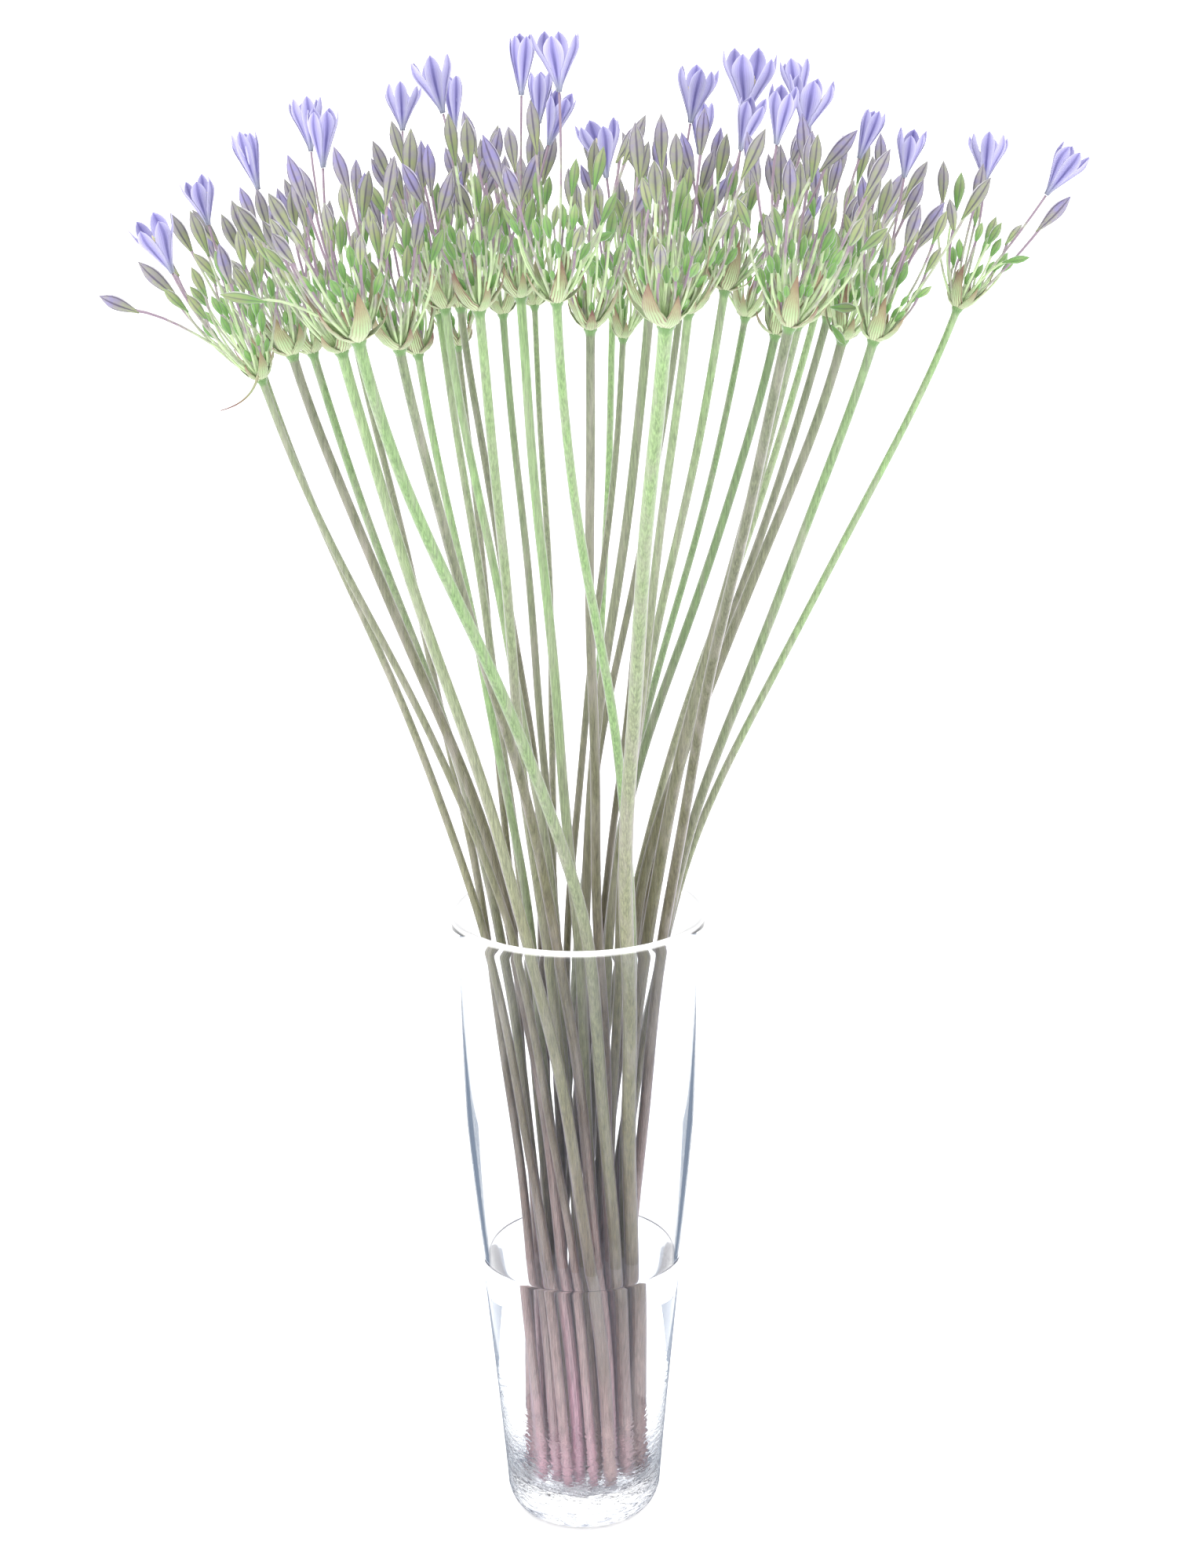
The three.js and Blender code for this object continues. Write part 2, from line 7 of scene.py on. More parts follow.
import bpy
import numpy as np
from mathutils import Matrix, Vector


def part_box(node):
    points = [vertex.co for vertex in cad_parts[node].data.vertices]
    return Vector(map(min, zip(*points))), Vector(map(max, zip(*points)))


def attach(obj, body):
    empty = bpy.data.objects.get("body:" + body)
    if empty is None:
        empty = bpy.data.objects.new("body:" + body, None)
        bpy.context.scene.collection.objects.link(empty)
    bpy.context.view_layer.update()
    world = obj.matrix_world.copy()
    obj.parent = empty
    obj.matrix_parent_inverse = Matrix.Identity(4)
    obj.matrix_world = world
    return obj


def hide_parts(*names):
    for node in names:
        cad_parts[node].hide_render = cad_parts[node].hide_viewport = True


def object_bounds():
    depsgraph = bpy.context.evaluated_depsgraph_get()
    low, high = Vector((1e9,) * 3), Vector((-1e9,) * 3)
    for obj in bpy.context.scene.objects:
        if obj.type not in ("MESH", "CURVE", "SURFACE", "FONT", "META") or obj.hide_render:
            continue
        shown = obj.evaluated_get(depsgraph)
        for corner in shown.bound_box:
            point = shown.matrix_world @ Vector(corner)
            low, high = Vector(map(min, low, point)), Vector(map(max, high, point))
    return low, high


bl_info = {
    "name": "Brodiaea in vase",
    "version": (1, 0, 0),
    "blender": (4, 5, 0),
    "location": "View3D > Sidebar > Brodiaea",
    "description": "Builds the vase, its water, the flowering stems and the open flowers",
    "category": "Add Mesh",
}

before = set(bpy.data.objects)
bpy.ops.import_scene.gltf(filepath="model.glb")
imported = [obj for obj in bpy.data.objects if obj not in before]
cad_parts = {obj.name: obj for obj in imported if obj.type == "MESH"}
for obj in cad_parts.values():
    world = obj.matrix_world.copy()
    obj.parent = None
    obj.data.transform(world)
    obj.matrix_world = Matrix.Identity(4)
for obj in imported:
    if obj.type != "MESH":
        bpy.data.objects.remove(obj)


def as_numbers(box):
    """The two corners of a box as plain lists of numbers."""
    return [[float(value) for value in corner] for corner in box]


CAD_BOX = as_numbers(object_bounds())
VASE_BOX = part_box("vase")
WATER_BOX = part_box("water")
MM = 0.001
TURN = 2 * math.pi

# The bunch, in millimetres, as the frame has it: where its stems stand, spread and twist
STEM_FOOT_Z = 18.3
VASE_HEIGHT = 300
BUNCH_FOOT_RADIUS = 22.9
HEAD_LEVEL = 570
BEND_Z = 290
HEAD_LEAN = 450
GOLDEN_TURN = math.radians(137.508)
RIM = 2.22 * np.exp(1j * math.radians(-60))
HEAD = 6.46 * np.exp(1j * math.radians(-80))

# Each flowering stem: top of the scape (x, y, z) and the scape's diameter there
STEMS = np.array([
    [-129, -36, 547, 3.0], [-138, 40, 541, 3.2], [-120, 4, 552, 4.2], [-117, 60, 546, 3.8],
    [-93, -60, 561, 4.6], [-101, 90, 551, 3.2], [-81, -120, 572, 4.8], [-67, -95, 566, 4.0],
    [-67, 20, 550, 3.4], [-59, 50, 564, 3.4], [-54, 115, 542, 2.8], [-54, 5, 571, 3.6],
    [-51, 85, 563, 3.4], [-36, -80, 579, 4.0], [-30, 29, 566, 3.2], [-21, -20, 578, 4.0],
    [-18, 130, 559, 2.8], [-5, -110, 585, 3.7], [8, -60, 569, 3.8], [19, 108, 558, 3.2],
    [23, 55, 552, 2.8], [33, -15, 570, 4.0], [36, -140, 579, 5.6], [41, 75, 559, 2.8],
    [47, 20, 567, 3.0], [48, -50, 574, 3.6], [64, -30, 581, 3.5], [82, 125, 553, 3.2],
    [88, 10, 558, 3.8], [84, -120, 576, 4.2], [92, -55, 570, 5.0], [114, 47, 561, 3.6],
    [113, 95, 559, 3.4], [116, -1, 557, 4.2], [125, -40, 561, 4.0], [167, 15, 568, 3.2],
])

# Each open flower: its stem's number, base (x, y, z), lean (x and y for each unit of height),
# length and half the width of its mouth
FLOWERS = np.array([
    [1, -160, -58, 592, -0.37, -0.31, 24, 9], [3, -152, -4, 607, -0.19, -0.18, 20, 7],
    [4, -139, 66, 617, -0.26, 0.16, 26, 6], [6, -118, 98, 632, -0.09, 0.18, 24, 8],
    [5, -97, -66, 633, 0.02, -0.1, 23, 6.5], [10, -74, 66, 642, 0, 0.2, 20, 8.5],
    [12, -53, 10, 651, -0.26, 0.09, 24, 9.5], [16, -19, -30, 659, 0.03, -0.09, 24, 5.5],
    [18, -3, -106, 662, -0.03, -0.1, 22, 9.5], [15, -13, 20, 646, 0.05, -0.1, 22, 5],
    [16, -8, -44, 640, 0.3, -0.3, 22, 5.5], [19, 15, -66, 628, -0.15, -0.18, 23, 9],
    [22, 50, -18, 647, 0.16, -0.08, 23, 9], [27, 71, -36, 649, 0.12, -0.15, 27, 12],
    [26, 68, -64, 638, 0.27, -0.28, 21, 6], [27, 96, 0, 652, -0.1, 0.2, 20, 6.5],
    [31, 94, -50, 643, 0.2, -0.09, 23, 10], [30, 79, -108, 642, 0.13, -0.21, 22, 6],
    [34, 122, 4, 631, 0.37, 0.11, 21, 5], [35, 137, -30, 625, 0.13, -0.25, 20, 6],
    [36, 179, 30, 619, 0.1, 0.2, 21, 9], [36, 202, 8, 615, 0.64, -0.12, 23, 8],
])

# Two flowers that are hardly open and belong to their stems' pieces, in the same columns
NARROW_FLOWERS = np.array([
    [13, -52, 92, 641, -0.05, 0.1, 25, 4.5], [25, 55, 10, 633, 0.08, -0.05, 22, 5.0],
])
FLOWER_SEED, NARROW_SEED = 3000, 3100

# A dried bract that hangs in a curl from the lowest head: its stem's number, three points of its
# line, and its radius at the root and the tip
CURL_STEM = 1
CURL = np.array([[-129.4, -40.0, 549.0], [-131.0, -46.0, 538.0], [-145.0, -45.0, 534.5]])
CURL_RADII = 0.75, 0.2

# Pedicels that stray far from the rest: stem number, neck and tip of the bud, size of bud
STRAYS = [
    (1, (-179, -45, 576), (-192, -47, 582), 0), (7, (-116, -135, 588), (-130, -140, 591), 1),
    (36, (185, 0, 588), (194, -4, 590), 2), (19, (10, -95, 606), (17, -98, 609), 2),
    (34, (110, -24, 572), (119, -28, 572), 1), (34, (110, -20, 563), (115, -22, 556), 2),
]
STRAY_RISE = 9.0

# Sizes of buds, large, middling, small and smallest: length, radius, the least and most length
# of the pedicel, and how far the pedicels spread from the head's axis in degrees
BUD_KINDS = [(17, 3.0, 50, 72, 26), (12, 2.3, 32, 50, 26), (8, 1.9, 20, 32, 24), (6, 1.4, 7, 20, 26)]
FRAME_ORDER = [0, 1, 0, 2, 0, 1]
FILL_ORDER = [3, 2, 1, 3, 2, 1, 2, 0, 3, 1, 2, 3, 1, 2, 2, 1, 3, 2, 0, 1, 3, 2]
# Of the frame's pedicels and of those between them: how often one is tried elsewhere, how far it
# bends outwards as a share of its length, and how far the share of its tilt moves on each time
FRAME_TRIES, FRAME_BOW, FRAME_STEP = 8, 0.03, 0.7549
FILL_TRIES, FILL_BOW, FILL_STEP = 5, 0.09, 0.618
# Where the random tones of strayed, the frame's and the other pedicels start
STRAY_TONE, FRAME_TONE, FILL_TONE = 950, 960, 980
# How ripe each size of bud is, from 0, leaf green, to 1, violet, and how far that varies
RIPENESS = np.array([0.78, 0.42, 0.12, 0.02])
RIPE_SPREAD = np.array([0.42, 0.55, 0.2, 0.1])
BUD_WIDEST = 0.6
BUD_TAPER = 0.2
BUD_GIRTH = 0.93
PEDICEL_RADIUS = 0.65
PEDICEL_DEPTH = 0.8
COLLAR_OVERHANG = 1.0
BRACT_LENGTH = 19
BRACT_OUT = 9.5
KEEP_CLEAR, FILL_ROOM = 0.5, 0.1
MOST_RODS = 6000
# Where the corners of round sections start, and about a full turn, for random starts
CROSSWISE = (0, 1.0, 0.1)
ANY_TURN = 6.28

# Tips of the buds that are added here stay inside the frame's own box, or this little outside
LOWEST, HIGHEST = np.array(CAD_BOX) / MM
SLACK = 1.0

# The vase, in millimetres: radius and height at points from the middle of its foot to the heel,
# and up its outside to the rim
HEEL = np.array([
    [0.5, 1.2], [22, 1.0], [27, 0.3], [29, 0.0], [31.2, 0.35], [33.1, 1.6], [34.4, 3.4], [35.6, 6.0],
])
GLASS_OUTSIDE = np.array([[36.5, 9], [41.2, 67], [48.3, 141], [53.9, 213], [58, 299]])
WATER_INTO_GLASS = 0.15
SKIN_SAG = 0.4

# How many corners the sections have
VASE_CORNERS, SCAPE_CORNERS, BRACT_CORNERS, TEPAL_CORNERS, STALK_CORNERS = 160, 14, 14, 16, 6

# Numbers of the materials on a stem's piece and on a flower's
SCAPE, PEDICEL, BUD, BRACT, TEPAL = range(5)
PETAL, STYLE, POLLEN = range(3)

# Grey cloths on the table that only reflections and the glass see, in metres, which paint dark
# reflections and shade into the glass: those beside and behind the vase draw its edges over and
# under the water, two under its foot paint shade into its corners in place of the shadow under its
# heel, and the one before it keeps white out of its front
FLAGS = {
    "left_flag": [(-0.15, 0.14), (-0.6, 0.2), (-0.6, 0.6), (-0.15, 0.42)],
    "right_flag": [(0.15, 0.14), (0.15, 0.42), (0.6, 0.6), (0.6, 0.2)],
    "low_left_flag": [(-0.037, -0.02), (-0.12, -0.05), (-0.12, 0.22), (-0.035, 0.22)],
    "low_right_flag": [(0.037, -0.02), (0.035, 0.22), (0.12, 0.22), (0.12, -0.05)],
    "left_foot_shade_flag": [(-0.037, -0.03), (-0.037, 0.03), (-0.016, 0.035), (-0.024, -0.03)],
    "right_foot_shade_flag": [(0.037, -0.03), (0.02, -0.03), (0.016, 0.035), (0.037, 0.03)],
    "front_flag": [(-0.5, -1.0), (0.5, -1.0), (0.5, -0.08), (-0.5, -0.08)],
}
TABLE = [(-6, -6), (6, -6), (6, 6), (-6, 6)]
FLAG_HEIGHT, TABLE_HEIGHT = -0.0001, -0.0002

# Light and camera: places in metres, tilts and turn in degrees, the camera's roll in radians,
# power in watts, lens in millimetres
WORLD_STRENGTH = 1.85
LAMP_PLACE, LAMP_TILT, LAMP_TURN, LAMP_POWER, LAMP_SIZE = (-1.1, -1.3, 1.9), 48, -38, 12, 1.6
CAMERA_PLACE, CAMERA_TILT, CAMERA_ROLL, LENS, SENSOR = (0.0054, -1.125, 0.686), 73.8, -0.01, 59.97, 36


def linear(code):
    """A colour written #rrggbb in sRGB, as the linear red, green, blue and alpha of sockets."""
    shares = [int(code[k : k + 2], 16) / 255 for k in (1, 3, 5)]
    return (*[s / 12.92 if s <= 0.04045 else ((s + 0.055) / 1.055) ** 2.4 for s in shares], 1.0)


def length_of(name, about, millimetres):
    """A length that shows in the sidebar, with its default in millimetres."""
    return bpy.props.FloatProperty(
        name=name, description=about, default=millimetres * MM, min=0, unit="LENGTH", precision=5
    )


def colour_of(name, about, code):
    """A colour that shows in the sidebar, with its default written #rrggbb."""
    return bpy.props.FloatVectorProperty(
        name=name, description=about, default=linear(code), size=4, min=0, max=1, subtype="COLOR"
    )


class VaseSizes(bpy.types.PropertyGroup):
    """Sizes of the glass and the water."""

    height: length_of("Height", "Height of the rim over the foot", VASE_BOX[1].z / MM)
    wall: length_of("Wall", "Thickness of the glass", 2.8)
    bottom: length_of("Bottom", "Height of the inside floor", 18)
    corner: length_of("Corner", "Rounding of the inside floor", 7)
    level: length_of("Water level", "Height of the water over the foot", WATER_BOX[1].z / MM)
    climb: length_of("Meniscus", "How far the water climbs the glass", 1.5)
    glass: colour_of("Glass", "Tint of the glass", "#fdfeff")
    # The cord tint is painted grey shade in the thick foot of the glass
    cord_shade_tint: colour_of("Cords", "Tint of the streaks in the thick foot", "#646d84")
    water: colour_of("Water", "Tint of the water", "#fbfdff")


class StemSizes(bpy.types.PropertyGroup):
    """Sizes and colours of the scapes."""

    growth: length_of("Growth", "How much thicker a scape is at its foot", 1.3)
    wander: length_of("Wander", "How far a scape strays from its smooth line", 0.6)
    fresh: colour_of("Fresh green", "Skin just under the heads", "#7d9a66")
    olive: colour_of("Olive", "Skin half way down", "#7e8369")
    dull: colour_of("Dull olive", "Skin at the rim of the vase", "#716f52")
    brown: colour_of("Brown", "Skin above the water", "#635345")
    rosy: colour_of("Rosy brown", "Skin under water", "#a88a88")
    pink: colour_of("Pink", "Skin at the cut ends", "#d49fb2")
    wax: colour_of("Wax", "Mauve bloom on the skin", "#aca39f")
    collar: colour_of("Collar", "Ring under the bracts", "#6f9458")


class HeadSizes(bpy.types.PropertyGroup):
    """Sizes and colours of the bracts, pedicels and buds."""

    pedicel: length_of("Pedicel", "Radius of a pedicel", 0.5)
    bract_wall: length_of("Bract wall", "Thickness of a bract", 0.4)
    rib: bpy.props.FloatProperty(
        name="Ribs", description="Height of a bud's ribs as a share of its radius", default=0.07,
        subtype="FACTOR",
    )
    paper: colour_of("Paper", "Pale body of a bract", "#cad8ac")
    bract: colour_of("Bract green", "Middle of a bract", "#a9c290")
    dry: colour_of("Bract tip", "Dry upper part of a bract", "#a8906f")
    vein: colour_of("Veins", "Veins and tips of a bract", "#7e544e")
    unripe: colour_of("Unripe bud", "Small green buds", "#6f9f50")
    olive_bud: colour_of("Olive bud", "Buds half way to ripe", "#8f986b")
    ripe: colour_of("Ripe bud", "Large buds before they open", "#868188")
    violet_bud: colour_of("Violet bud", "Buds about to open", "#7a73a0")
    ribs: colour_of("Bud ribs", "Dark ribs of ripe buds", "#463c58")
    green_pedicel: colour_of("Green pedicel", "Young pedicels", "#bad19e")
    purple_pedicel: colour_of("Purple pedicel", "Old pedicels", "#8b7788")


class FlowerSizes(bpy.types.PropertyGroup):
    """Sizes and colours of the open flowers."""

    wall: length_of("Tepal", "Thickness of a tepal", 0.4)
    violet: colour_of("Violet", "Outside of a tepal", "#8d87c2")
    pale: colour_of("Pale", "Edges and inside of a tepal", "#c2bfe0")
    midrib: colour_of("Midrib", "Dark line down each tepal", "#514c8c")
    tube: colour_of("Tube", "Foot of the flower", "#8c93a0")
    anther: colour_of("Anther", "Pollen sacs", "#ece7c8")
    pollen: colour_of("Pollen", "Darker grains on the pollen sacs", "#cfc58f")


def draw(a, b):
    """One repeatable number from 0 to 1 for each pair of whole numbers: a is the head's or the
    flower's, and b only sets one use apart from another."""
    mixed = ((a + 1) * 374761393 + (b + 1) * 668265263) & 0xFFFFFFFF
    mixed = ((mixed ^ (mixed >> 13)) * 1274126177) & 0xFFFFFFFF
    return (mixed ^ (mixed >> 16)) / 4294967296


def draws(a, start, count):
    """A row of repeatable numbers from 0 to 1."""
    return np.array([draw(a, start + k) for k in range(count)])


def unit(rows):
    """Each row as a vector of length one."""
    return rows / np.maximum(np.linalg.norm(rows, axis=-1, keepdims=True), 1e-12)


def rise(z):
    """How far up a height is, from 0 at the foot of the stems to 1 at the rim of the vase."""
    return (z - STEM_FOOT_Z) / (VASE_HEIGHT - STEM_FOOT_Z)


TOP = rise(HEAD_LEVEL)
BOW = (HEAD - (1 - TOP) - TOP * RIM) / (TOP * (TOP - 1))


def spread(t):
    """The complex number that a foot's place is multiplied by, (1 - t) + t RIM + t (t - 1) BOW:
    1 at the foot, RIM at the rim, HEAD at the heads."""
    return (1 - t) + t * RIM + BOW * t * (t - 1)


def spread_rate(t):
    """How fast the spread changes, for each millimetre of height."""
    return (RIM - 1 + BOW * (2 * t - 1)) / (VASE_HEIGHT - STEM_FOOT_Z)


def choose_feet():
    """Feet lie on a sunflower spiral. Each head takes one, and two heads swap theirs as long as
    that brings the spread-out feet closer to the heads."""
    count = len(STEMS)
    order = np.arange(count)
    spots = BUNCH_FOOT_RADIUS * np.sqrt((order + 0.5) / count) * np.exp(1j * order * GOLDEN_TURN)
    heads = STEMS[:, 0] + 1j * STEMS[:, 1]
    miss = np.abs(spread(TOP) * spots[None, :] - heads[:, None]) ** 2
    taken = list(range(count))
    swapped = True
    while swapped:
        swapped = False
        for i in range(count):
            for j in range(i):
                now = miss[i, taken[i]] + miss[j, taken[j]]
                if miss[i, taken[j]] + miss[j, taken[i]] < now - 1e-6:
                    taken[i], taken[j] = taken[j], taken[i]
                    swapped = True
    return spots[taken]


FEET = choose_feet()


def stem_centre(i, z):
    """Centre of stem i at heights z: the foot's place times the common spread, and from just below
    the rim a cubic that keeps place and slope at both ends."""
    place = spread(rise(BEND_Z)) * FEET[i]
    slope = spread_rate(rise(BEND_Z)) * FEET[i]
    head = complex(STEMS[i, 0], STEMS[i, 1])
    height = STEMS[i, 2] - BEND_Z
    t = (z - BEND_Z) / height
    high = (1 - t) ** 2 * ((1 + 2 * t) * place + t * height * slope)
    high = high + t * t * ((3 - 2 * t) * head + (t - 1) * height * head / HEAD_LEAN)
    spot = np.where(z <= BEND_Z, spread(rise(z)) * FEET[i], high)
    return np.stack([spot.real, spot.imag, z], axis=-1)


def leaning(lean_x, lean_y):
    """The direction that leans by so much for each unit of height, and X and Y square to it."""
    axis = unit(np.array([lean_x, lean_y, 1.0]))
    x = unit(np.array([1.0, 0, 0]) - axis * axis[0])
    return axis, x, np.cross(axis, x)


def head_frame(i):
    """Directions round head i: its axis, and X and Y square to it."""
    return leaning(STEMS[i, 0] / HEAD_LEAN, STEMS[i, 1] / HEAD_LEAN)


def aimed(i, tilt, turn):
    """Directions that lean from head i's axis by tilt, towards turn. Both may be rows of angles."""
    axis, x, y = head_frame(i)
    tilt, turn = np.asarray(tilt)[..., None], np.asarray(turn)[..., None]
    return axis * np.cos(tilt) + (x * np.cos(turn) + y * np.sin(turn)) * np.sin(tilt)


class Rods:
    """Round rods that stand for what is already in place, each with the head it belongs to."""

    def __init__(self):
        self.start, self.end = np.zeros((MOST_RODS, 3)), np.zeros((MOST_RODS, 3))
        self.radius, self.head = np.zeros(MOST_RODS), np.zeros(MOST_RODS, int)
        self.free, self.bulky = np.zeros(MOST_RODS, bool), np.zeros(MOST_RODS, bool)
        self.count = 0

    def add(self, head, points, radii, bulky=False):
        """Rods between successive points. Those at a root, and all of a long row, never stop
        their own head."""
        for k, radius in enumerate(radii):
            n = self.count
            self.start[n], self.end[n], self.radius[n] = points[k], points[k + 1], radius
            self.head[n], self.free[n] = head, k == 0 or len(radii) > 4
            self.bulky[n] = bulky or radius > PEDICEL_RADIUS
            self.count += 1

    def gaps(self, p, q):
        """Smallest distance from the middle line p to q to the middle line of every rod: the two
        parameters of the closest points are solved for, then kept between 0 and 1."""
        start, across = self.start[: self.count], self.end[: self.count] - self.start[: self.count]
        along, between = q - p, p - start
        a, e = along @ along, np.einsum("nk,nk->n", across, across)
        b, c, f = across @ along, between @ along, np.einsum("nk,nk->n", across, between)
        below = a * e - b * b
        solved = np.clip((b * f - c * e) / np.where(below > 1e-9, below, 1), 0, 1)
        s = np.where(below > 1e-9, solved, 0)
        t = (b * s + f) / e
        kept = np.clip(t, 0, 1)
        s = np.where(kept != t, np.clip((b * kept - c) / a, 0, 1), s)
        return np.linalg.norm(between + s[:, None] * along - kept[:, None] * across, axis=1)

    def clear(self, head, points, radii, bulky_only=False, room=KEEP_CLEAR):
        """Whether rods between successive points keep their room from all that is in place."""
        own = self.head[: self.count] == head
        for k, radius in enumerate(radii):
            if bulky_only and k < len(radii) - 1:
                continue
            skip = own & (self.free[: self.count] | (k == 0))
            if bulky_only:
                skip = skip | ~self.bulky[: self.count]
            near = self.gaps(points[k], points[k + 1]) <= radius + self.radius[: self.count] + room
            if np.any(near & ~skip):
                return False
        return True


def pedicel_root(i):
    """Where the pedicels of head i start, a little below the top of its scape."""
    return STEMS[i, :3] - PEDICEL_DEPTH * head_frame(i)[0]


def frame_pedicel(i, rank, attempt):
    """The line of the pedicel and bud that the frame has at this place of head i, from its root to
    its bud's neck and tip, with the bud's radius and size."""
    length, radius, least, most, widest = BUD_KINDS[FRAME_ORDER[rank]]
    share = (rank * FRAME_STEP + draw(i, 51)) % 1
    tilt = math.radians(widest) * math.sqrt(share) * (1 - 0.06 * attempt)
    root_turn = math.radians(60 * rank)
    turn = root_turn + math.radians(40 * (draw(i, 200 + rank) - 0.5) + 47 * attempt)
    reach = (least + (most - least) * draw(i, 100 + rank)) * (1 - 0.12 * share - 0.05 * attempt)
    ring = max(1.35, STEMS[i, 3] / 4 + COLLAR_OVERHANG)
    root = pedicel_root(i) + ring * aimed(i, math.pi / 2, root_turn)
    heading = aimed(i, tilt, turn)
    neck = root + heading * reach
    return [root, (root + neck) / 2, neck, root + heading * (reach + length)], radius, FRAME_ORDER[rank]


def fill_pedicel(i, rank, attempt):
    """The same for one of the many more pedicels and buds of head i, spread evenly by the golden
    angle."""
    kind = FILL_ORDER[rank]
    length, radius, least, most, widest = BUD_KINDS[kind]
    share = (rank * FILL_STEP + draw(i, 400) + 0.31 * attempt) % 1
    turn = rank * GOLDEN_TURN + ANY_TURN * draw(i, 401) + 0.9 * attempt
    tilt = math.radians(widest + 5) * math.sqrt(share)
    size = 0.85 + 0.3 * draw(i, 500 + rank)
    reach = (least + (most - least) * draw(i, 600 + rank * 9 + attempt)) * (1 - 0.1 * share)
    ring = (STEMS[i, 3] / 2 + 0.2) * math.sqrt(draw(i, 700 + rank))
    root = pedicel_root(i) + ring * aimed(i, math.pi / 2, turn)
    heading = aimed(i, tilt, turn)
    neck = root + heading * reach
    upright = unit(heading + 0.25 * (draws(i * 40 + rank, 800, 3) - 0.5))
    return [root, neck, neck + upright * length * size], radius * size, kind


def settle(rods, rows, i, rank, rule, tries, bow, seed, **care):
    """Adds the first place that the rule gives a pedicel of head i inside the frame's box and
    clear of the rods, bent outwards by a share of its length."""
    for attempt in range(tries):
        points, radius, kind = rule(i, rank, attempt)
        root, neck, tip = points[0], points[-2], points[-1]
        radii = [PEDICEL_RADIUS] * (len(points) - 2) + [radius]
        outside = np.any(tip < LOWEST - SLACK) or np.any(tip > HIGHEST + SLACK)
        if not outside and rods.clear(i, points, radii, **care):
            rods.add(i, points, radii)
            rows.append((root, bent(i, root, neck, bow), neck, tip, radius, kind, draw(i, seed + rank)))
            return


def place_pedicels():
    """For each head, rows of root, bend, neck and tip points, bud radius, size of bud and a random
    tone: first all that the frame has, by its own rule, and then many more between them."""
    rods, heads = Rods(), [[] for _ in STEMS]
    for i, (*top, diameter) in enumerate(STEMS):
        levels = np.linspace(STEM_FOOT_Z, top[2], 11)
        collar = diameter / 2 + COLLAR_OVERHANG
        rods.add(i, stem_centre(i, levels), [collar] * 10, bulky=True)
        rods.add(i, [top, top + BRACT_LENGTH * head_frame(i)[0]], [collar + BRACT_OUT])
    open_flowers = [0] * len(STEMS)
    for flower in FLOWERS:
        i = int(flower[0]) - 1
        base = flower[1:4]
        tip = base + leaning(*flower[4:6])[0] * flower[6]
        rods.add(-1, [base, (base + tip) / 2, tip], [0.6 * flower[7], flower[7]])
        rods.add(i, arc(flower_pedicel(flower), 5), [PEDICEL_RADIUS] * 4)
        open_flowers[i] += 1
    for stem, neck, tip, kind in STRAYS:
        i, neck, tip = stem - 1, np.array(neck, float), np.array(tip, float)
        root, radius = pedicel_root(i), BUD_KINDS[kind][1]
        bend = (root + tip) / 2 + np.array([0, 0, STRAY_RISE])
        rods.add(i, arc((root, bend, tip), 5), [PEDICEL_RADIUS] * 3 + [radius])
        heads[i].append((root, bend, neck, tip, radius, kind, draw(i, STRAY_TONE)))
    for rank in range(len(FRAME_ORDER)):
        for i, rows in enumerate(heads):
            if rank + open_flowers[i] < len(FRAME_ORDER):
                settle(rods, rows, i, rank, frame_pedicel, FRAME_TRIES, FRAME_BOW, FRAME_TONE)
    care = {"bulky_only": True, "room": FILL_ROOM}
    for rank in range(len(FILL_ORDER)):
        for i, rows in enumerate(heads):
            # Thick scapes carry more
            if rank < 12 + 3.4 * (STEMS[i, 3] - 1.6) * (0.8 + 0.4 * draw(i, 402)):
                settle(rods, rows, i, rank, fill_pedicel, FILL_TRIES, FILL_BOW, FILL_TONE, **care)
    return heads


def bent(i, root, neck, share):
    """Middle point that bends a pedicel outwards by a share of its length, so that it turns
    upright."""
    axis = head_frame(i)[0]
    straight = neck - root
    outward = straight - axis * (straight @ axis)
    sideways = np.cross(axis, outward) * (draw(i, int(abs(neck[0] * 7)) % 97) - 0.5)
    away = unit(outward + 0.8 * sideways + 1e-6)
    return (root + neck) / 2 + 2 * share * np.linalg.norm(straight) * away


def flower_pedicel(flower):
    """Root, bend and end of the pedicel that carries an open flower, meeting it along its axis."""
    axis = leaning(*flower[4:6])[0]
    root = pedicel_root(int(flower[0]) - 1)
    end = flower[1:4] - 0.3 * axis
    return root, end - 0.5 * np.linalg.norm(end - root) * axis, end


def arc(points, count):
    """A quadratic curve from the first point towards the second and on to the third."""
    first, middle, last = (np.asarray(p)[..., None, :] for p in points)
    t = np.linspace(0, 1, count)[:, None]
    return (1 - t) ** 2 * first + 2 * t * (1 - t) * middle + t * t * last


def frames_along(lines, side):
    """Unit vectors across and out of each line of points: across is the given side made square
    to the line, and out is the line's direction times across."""
    along = unit(np.gradient(lines, axis=-2))
    side = np.broadcast_to(side, lines.shape)
    across = unit(side - along * np.sum(side * along, axis=-1, keepdims=True))
    return across, np.cross(along, across)


def round_the(corners):
    """The angles of the corners of a ring, from 0 to a full turn."""
    return np.arange(corners) / corners * TURN


def round_rings(lines, radii, side, corners, ridges=1.0):
    """Rings round each line: centre + radius * (cos a * across + sin a * out), a from 0 to a full
    turn. ridges multiplies the radius at each corner."""
    across, out = frames_along(lines, side)
    turn = round_the(corners)[:, None]
    swell = radii[..., None] * (np.ones(corners) * ridges)
    ring = across[..., None, :] * np.cos(turn) + out[..., None, :] * np.sin(turn)
    return lines[..., None, :] + swell[..., None] * ring


def blade_rings(lines, widths, cups, wall, side, corners):
    """Flat rings round each line for a thin blade: across by width * cos a, and out by
    cup * cos a squared + wall / 2 * sin a, so that both skins meet at the edges."""
    across, out = frames_along(lines, side)
    turn = round_the(corners)
    sideways = widths[..., None] * np.cos(turn)
    lift = cups[..., None] * np.cos(turn) ** 2 + wall / 2 * np.sin(turn)
    moved = across[..., None, :] * sideways[..., None] + out[..., None, :] * lift[..., None]
    return lines[..., None, :] + moved


